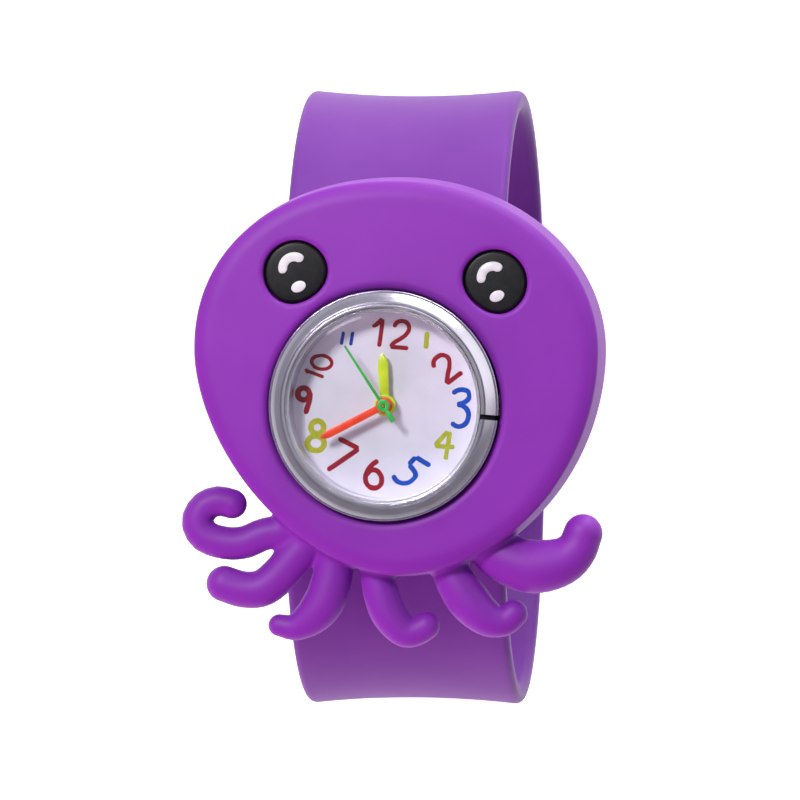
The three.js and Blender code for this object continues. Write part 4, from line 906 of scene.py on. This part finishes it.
# %% [markdown]
# ## Chrome case, spacer ring and lens
# The case is turned from one piece and plated. Its bezel is a satin slope with two fine grooves, so a fine
# lathe shape is needed: a plated surface shows every facet. Corners are softened a little, because a plated edge
# always catches a line of light. A notch at 3 o'clock lets a blade lift the lens.

# %% Turn the case
chrome = finish("chrome", colour(204, 200, 214), colour(216, 212, 226), patch=3, grain=0.05, rough=(0.2, 0.3),
                bump=0.01, metal=1.0)
TURN_STEPS = 256


def softened(outline, radius):
    """Replaces each corner of an outline by a short curve; a point on the axis stays."""
    pts = [np.array(p, float) for p in outline]
    result = []
    for i, p in enumerate(pts):
        if p[0] == 0:
            result.append(tuple(p))
            continue
        a, b = pts[i - 1] - p, pts[(i + 1) % len(pts)] - p
        cut = min(radius, 0.45 * np.linalg.norm(a), 0.45 * np.linalg.norm(b))
        a, b = p + a / np.linalg.norm(a) * cut, p + b / np.linalg.norm(b) * cut
        for t in (0, 0.25, 0.5, 0.75, 1):
            result.append(tuple((1 - t) ** 2 * a + 2 * t * (1 - t) * p + t * t * b))
    return result


def turned(outline):
    """A body turned round the dial axis; an outline point on the axis becomes a pole."""
    steps = TURN_STEPS
    mesh = bmesh.new()
    rings = []
    for radius, z in outline:
        count = steps if radius > 0 else 1
        rings.append([mesh.verts.new((radius * math.cos(2 * math.pi * i / steps) * MM,
                                      radius * math.sin(2 * math.pi * i / steps) * MM, z * MM))
                      for i in range(count)])
    for a, b in zip(rings, rings[1:] + rings[:1]):
        for i in range(steps):
            corners = [a[i % len(a)], a[(i + 1) % len(a)], b[(i + 1) % len(b)], b[i % len(b)]]
            corners = list(dict.fromkeys(corners))
            if len(corners) > 2:
                mesh.faces.new(corners)
    return mesh


CASE = [(9.0, 5.0), (9.9, 5.0), (9.9, 8.6), (12.0, 8.6), (12.0, 12.2), (12.4, 12.3), (12.4, 12.5), (12.32, 12.56),
        (12.28, 12.3), (12.2, 12.3), (12.16, 12.68), (11.7, 13.06), (11.3, 13.33), (11.09, 13.45), (11.05, 13.1),
        (10.94, 13.1), (10.9, 13.47), (10.6, 13.47), (10.55, 13.4), (10.55, 9.05), (9.0, 9.05)]
blank = link_object("case_blank", as_mesh(turned(softened(CASE, 0.05)), "case_blank"))
NOTCH_AT, NOTCH_SIZE, NOTCH_REACH, NOTCH_TURN = (11.6, 0, 13.1), (2.3, 0.55, 1.8), (1.16, 0.28, 0.91), -6
notch_place = Matrix.Rotation(math.radians(NOTCH_TURN), 4, "Z") @ Matrix.Translation([v * MM for v in NOTCH_AT])
notch_shape = bmesh.new()
bmesh.ops.create_cube(notch_shape, size=1)
bmesh.ops.transform(notch_shape, matrix=notch_place @ Matrix.Diagonal([v * MM for v in NOTCH_SIZE] + [1]),
                    verts=notch_shape.verts)
notch = link_object("notch", as_mesh(notch_shape, "notch"))
cutter = blank.modifiers.new("notch", "BOOLEAN")
cutter.object, cutter.operation, cutter.solver = notch, "DIFFERENCE", "EXACT"
case = place_piece(settled(blank), "chrome_case", chrome, "insert", "chrome", "watch_case")
bpy.data.objects.remove(notch)
# The notch's faces get a near-black finish of their own. This is painted shade inside the slot, not another metal.
notch_painted_shade = finish("notch_painted_shade", colour(34, 31, 40), colour(52, 48, 58), patch=0.5, grain=0.06, rough=(0.5, 0.65),
                    bump=0.05, metal=0.6)
case.data.materials.append(notch_painted_shade)
for face in case.data.polygons:
    inside = notch_place.inverted() @ face.center
    if all(abs(v) < reach * MM for v, reach in zip(inside, NOTCH_REACH)):
        face.material_index = 1
print("case:", len(case.data.polygons), "faces")

# %% [markdown]
# The lens is a clear cap, hollow below, so that it stays clear from low angles. Shadow and diffuse rays pass it as if
# it weren't there: a refracting lens would shade the dial, and with shadow rays alone the light would count twice.

# %% Spacer ring and lens
spacer = [(10.1, 9.55), (10.45, 9.55), (10.45, 12.85), (10.1, 12.85)]
place_piece(turned(softened(spacer, 0.06)), "rehaut_ring", chrome, "insert", "chrome", "spacer_ring")
clear = finish("clear_lens", (1, 1, 1, 1), (0.97, 0.98, 1, 1), patch=6, grain=0.4, rough=(0.0, 0.02), bump=0.001,
               transmission_weight=1.0, ior=1.38)
made, links = clear.node_tree.nodes, clear.node_tree.links
rays = made.new("ShaderNodeLightPath").outputs
open_way, either = made.new("ShaderNodeBsdfTransparent"), made.new("ShaderNodeMixShader")
links.new(Sums(clear.node_tree)("MAXIMUM", rays["Is Shadow Ray"], rays["Is Diffuse Ray"]), either.inputs[0])
links.new(made["Principled BSDF"].outputs[0], either.inputs[1])
links.new(open_way.outputs[0], either.inputs[2])
links.new(either.outputs[0], made["Material Output"].inputs["Surface"])
lens = [(0, 13.45), (3.0, 13.41), (6.0, 13.29), (8.5, 13.1), (9.6, 12.97), (9.9, 12.9), (10.5, 12.9), (10.5, 13.6),
        (10.42, 13.68), (9.0, 13.82), (6.0, 14.04), (3.0, 14.16), (0, 14.2)]
place_piece(turned(softened(lens, 0.03)), "watch_lens", clear, "insert", "lens_clear", "lens")
print("lens and spacer ready")

# %% [markdown]
# ## Dial and numbers
# The dial is a printed white disc. Its numbers look hand-drawn: a child's strokes in dark red, blue and
# yellow-green, leaning with the dial. Each number is a few strokes through points measured from the dial's
# middle, in steps of about a tenth of a millimetre, so the same stroke tree can draw them. The print sits a little
# off the axis.

# %% Draw the numbers
paper = finish("dial_paper", colour(218, 214, 230), colour(226, 222, 238), patch=2.5, grain=0.08, rough=(0.45, 0.6),
               bump=0.03)
dress(nodes["dial"], paper)
INKS = {"red": ((136, 6, 32), (156, 14, 42)), "blue": ((10, 62, 164), (18, 80, 186)),
        "olive": ((165, 168, 40), (186, 190, 58))}
inks = {name: finish(f"{name}_ink", colour(*dark), colour(*light), patch=0.6, grain=0.06, rough=(0.6, 0.75),
                     specular_ior_level=0.15) for name, (dark, light) in INKS.items()}
PRINT, PRINT_SHIFT = np.array((0.1067, 0.1051)), np.array((-0.63, 0.22))
INK_HEIGHT, INK_LEVEL = 0.012, 9.506


def oval(x, y, across, high, tilt=0):
    a = math.radians(tilt)
    ring = []
    for i in range(10):
        u, v = across * math.cos(0.2 * math.pi * i), high * math.sin(0.2 * math.pi * i)
        ring.append((x + u * math.cos(a) - v * math.sin(a), y + u * math.sin(a) + v * math.cos(a)))
    return ring + ring[:1]


NUMBERS = {
    "red_12": (4.4, [[(-7.9, 78.2), (-2.5, 82.0), (2.4, 86.6)], [(2.6, 86.3), (0.9, 72), (-1.2, 57.5)],
                     [(14.1, 77.9), (16.4, 82.2), (21.8, 84.2), (27.2, 82.2), (29.5, 77.5), (27.2, 71.5),
                      (21.1, 66.2), (14.4, 62.1), (10.1, 57.5)], [(10.1, 57.5), (19, 57.0), (28.7, 56.1)]]),
    "olive_1": (5.0, [[(47.9, 73.4), (47.2, 65), (46.2, 55.6)]]),
    "red_2": (4.8, [[(54.6, 36), (54.3, 42.7), (58, 47.4), (64, 49.4), (69.3, 46.1), (70.4, 39.4), (68.7, 30.7),
                     (67.3, 19.9)], [(67.3, 19.9), (75, 25.8), (83.4, 32)]]),
    "blue_3": (5.0, [[(73, 9.9), (78.7, 13.2), (84.8, 13.9), (89.6, 11.2), (90.3, 6.6), (86.6, 1.6), (77.7, -1.3)],
                     [(77.7, -1.3), (84.6, -3), (89.0, -8.2), (89.0, -16), (85.4, -22), (78.5, -23.7),
                      (71.7, -19.8)]]),
    "olive_4": (4.8, [[(68.5, -28.6), (62, -36), (55.3, -43.5)], [(55.3, -43.5), (65, -44.4), (76, -45.2)],
                      [(70.8, -28.9), (69.1, -40), (66.5, -58.2)]]),
    "blue_5": (5.2, [[(51, -64.2), (43, -59.5), (36.3, -55.1)], [(36.3, -55.1), (32.5, -59), (29, -63.3)],
                     [(29, -63.3), (33.8, -68.5), (35.9, -73.7), (32.9, -78.8), (25.1, -82.3), (17.4, -80.1),
                      (12.7, -73.7)]]),
    "red_6": (5.2, [[(-1.9, -58.6), (-8.9, -64), (-13.6, -71.3), (-14.9, -78), (-12.3, -84.7), (-6.9, -87.4),
                     (-0.9, -85.4), (1.5, -79.4), (-0.2, -72.7), (-4.9, -68.7), (-10.5, -69.6), (-14.0, -74.5)]]),
    "red_7": (5.2, [[(-42.4, -36.2), (-32, -41.4), (-21.6, -46.9)], [(-21.6, -46.9), (-37, -57.6), (-53.8, -69.3)]]),
    "olive_8": (5.8, [oval(-63.8, -25.1, 6.4, 6.6), oval(-65.5, -41.5, 8.6, 7.6)]),
    "red_9": (5.6, [oval(-77.9, 9.2, 6.0, 6.2), [(-70.8, 11.5), (-71.8, 3), (-76.1, -11.5)]]),
    "red_10": (3.6, [oval(-59.5, 41.7, 10.4, 7.0, -8), [(-74.9, 33), (-66, 29.8), (-57.1, 26.3)],
                     [(-75.6, 35.5), (-74.6, 32.5), (-73.0, 30.5)]]),
    "blue_11": (3.5, [[(-37.4, 73.5), (-38.4, 66.5), (-39.4, 59.5)], [(-27.7, 73.5), (-28.9, 66), (-30, 58.8)]]),
}
for label, (thick, lines) in NUMBERS.items():
    ink, name = inks[label.split("_")[0]], f"number_{label}"
    lines = [[tuple(PRINT * point + PRINT_SHIFT) for point in line] for line in lines]
    shape = stroke_mesh(lines, thick * PRINT[0] / 2, INK_HEIGHT, INK_LEVEL, name, ink)
    place_piece(shape, name, ink, "insert", "dial_white")
print("numbers:", len(NUMBERS))

# %% [markdown]
# ## Hands
# The hands are stamped and painted: yellow-green hours, orange minutes and a thin green second hand. A stamped
# plate has edges that roll over a little, so each hand is a flat outline with thickness and a Bevel modifier.

# %% Hands
PAINTS = {"yellow": ((196, 222, 28), (208, 234, 44)), "orange": ((230, 52, 8), (240, 68, 18)),
          "green": ((36, 160, 62), (52, 186, 74))}
paints = {name: finish(f"{name}_paint", colour(*dark), colour(*light), patch=1, grain=0.06, rough=(0.25, 0.35))
          for name, (dark, light) in PAINTS.items()}
HAND_THICK, HUB_STEPS = 0.22, 40


def hand_plate(blades, hub, hole, level, bearing):
    """Blades drawn pointing to 12 and a slightly thicker hub with a hole, turned clockwise to their place."""
    mesh = bmesh.new()
    turn = math.radians(-bearing)
    spin = np.array(((math.cos(turn), math.sin(turn)), (-math.sin(turn), math.cos(turn))))

    def row(line, z):
        return [mesh.verts.new((x * MM, y * MM, z * MM)) for x, y in np.array(line) @ spin]

    for line in blades:
        low, high = row(line, level + 0.02), row(line, level + HAND_THICK - 0.04)
        mesh.faces.new(low[::-1])
        mesh.faces.new(high)
        join_rings(mesh, [low, high])
    steps = np.linspace(0, 2 * math.pi, HUB_STEPS, endpoint=False)
    ring = np.stack([np.cos(steps), np.sin(steps)], axis=1)
    loops = [row(ring * hole, level), row(ring * hole, level + HAND_THICK), row(ring * hub, level + HAND_THICK),
             row(ring * hub, level)]
    join_rings(mesh, loops + loops[:1])
    return mesh


def blade(length, half, waist, tail):
    """A blade with nearly straight sides and a rounded point."""
    tip = [(half * math.cos(a) ** 1.3, length - 2.6 * half + 2.6 * half * math.sin(a))
           for a in np.radians((0, 15, 30, 45, 60, 74, 84))]
    right_side = [(waist, -tail)] + tip
    return right_side + [(0, length)] + [(-x, y) for x, y in right_side[::-1]]


def stamped(shape, name):
    """Rolls the edges of a plate over with a Bevel modifier."""
    plate = link_object(name, as_mesh(shape, name))
    roll = plate.modifiers.new("roll", "BEVEL")
    roll.width, roll.segments, roll.limit_method = 0.05 * MM, 2, "ANGLE"
    return settled(plate)


SECOND_BLADES = [[(0.17, 0.4), (0.12, 7.6), (0.0, 7.7), (-0.12, 7.6), (-0.17, 0.4)],
                 [(-0.2, -0.4), (-0.3, -2.0), (0.3, -2.0), (0.2, -0.4)]]
HANDS = {
    "hour": ([blade(5.6, 0.56, 0.46, -0.95)], 1.16, 0.84, "yellow", 357),
    "minute": ([blade(7.7, 0.43, 0.38, -0.7)], 0.9, 0.58, "orange", 243),
    "second": (SECOND_BLADES, 0.68, 0.2, "green", 327),
}
for body, (blades, hub, hole, paint, bearing) in HANDS.items():
    node, name = f"{body}_hand", f"{body}_hand_plate"
    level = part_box(node)[0].z / MM
    plate = stamped(hand_plate(blades, hub, hole, level, bearing), name)
    place_piece(plate, name, paints[paint], body, f"{paint}_paint", node)
print("hands:", len(HANDS))

# %% [markdown]
# ## Crown, back and movement
# Inside the case the CAD solids have the right shape, and only get their finish.

# %% Finishes for the plain nodes
steel = finish("brushed_steel", colour(168, 168, 172), colour(190, 190, 194), patch=3, grain=0.06, rough=(0.2, 0.36),
               bump=0.03, metal=1.0, stretch=(12, 1, 1))
brass = finish("brass", colour(190, 150, 70), colour(206, 168, 86), patch=2, grain=0.05, rough=(0.22, 0.36), bump=0.02,
               metal=1.0)
copper = finish("copper_wire", colour(176, 96, 52), colour(196, 112, 64), patch=0.5, grain=0.05, rough=(0.2, 0.34),
                bump=0.03, metal=1.0)
nylon = finish("white_nylon", colour(214, 212, 206), colour(226, 224, 218), patch=1.5, grain=0.06, rough=(0.4, 0.52))
dark_plastic = finish("dark_plastic", colour(34, 34, 37), colour(48, 48, 52), patch=1.5, grain=0.08, rough=(0.4, 0.55),
                      bump=0.05)
rubber = finish("black_rubber", colour(20, 20, 21), colour(34, 34, 35), patch=1.5, grain=0.1, rough=(0.55, 0.75),
                bump=0.08)
board = finish("board_green", colour(18, 82, 46), colour(30, 104, 60), patch=0.8, grain=0.1, rough=(0.3, 0.45))
PLAIN_NODES = {
    steel: ("case_back", "battery", "battery_clip", "stator", "quartz_crystal", "winding_stem", "setting_lever",
            "crown"),
    brass: ("train_bridge", "centre_wheel", "cannon_pinion", "third_wheel", "second_wheel"),
    nylon: ("intermediate_wheel", "minute_wheel", "hour_wheel", "rotor"),
    dark_plastic: ("movement_plate",), rubber: ("back_gasket",), board: ("circuit_board",), copper: ("coil",),
}
for material, names in PLAIN_NODES.items():
    for name in names:
        dress(nodes[name], material)
for name in nodes:
    if "_spring_" in name or name == "spring_middle":
        dress(nodes[name], steel)
print("painted nodes:", sum(len(names) for names in PLAIN_NODES.values()))
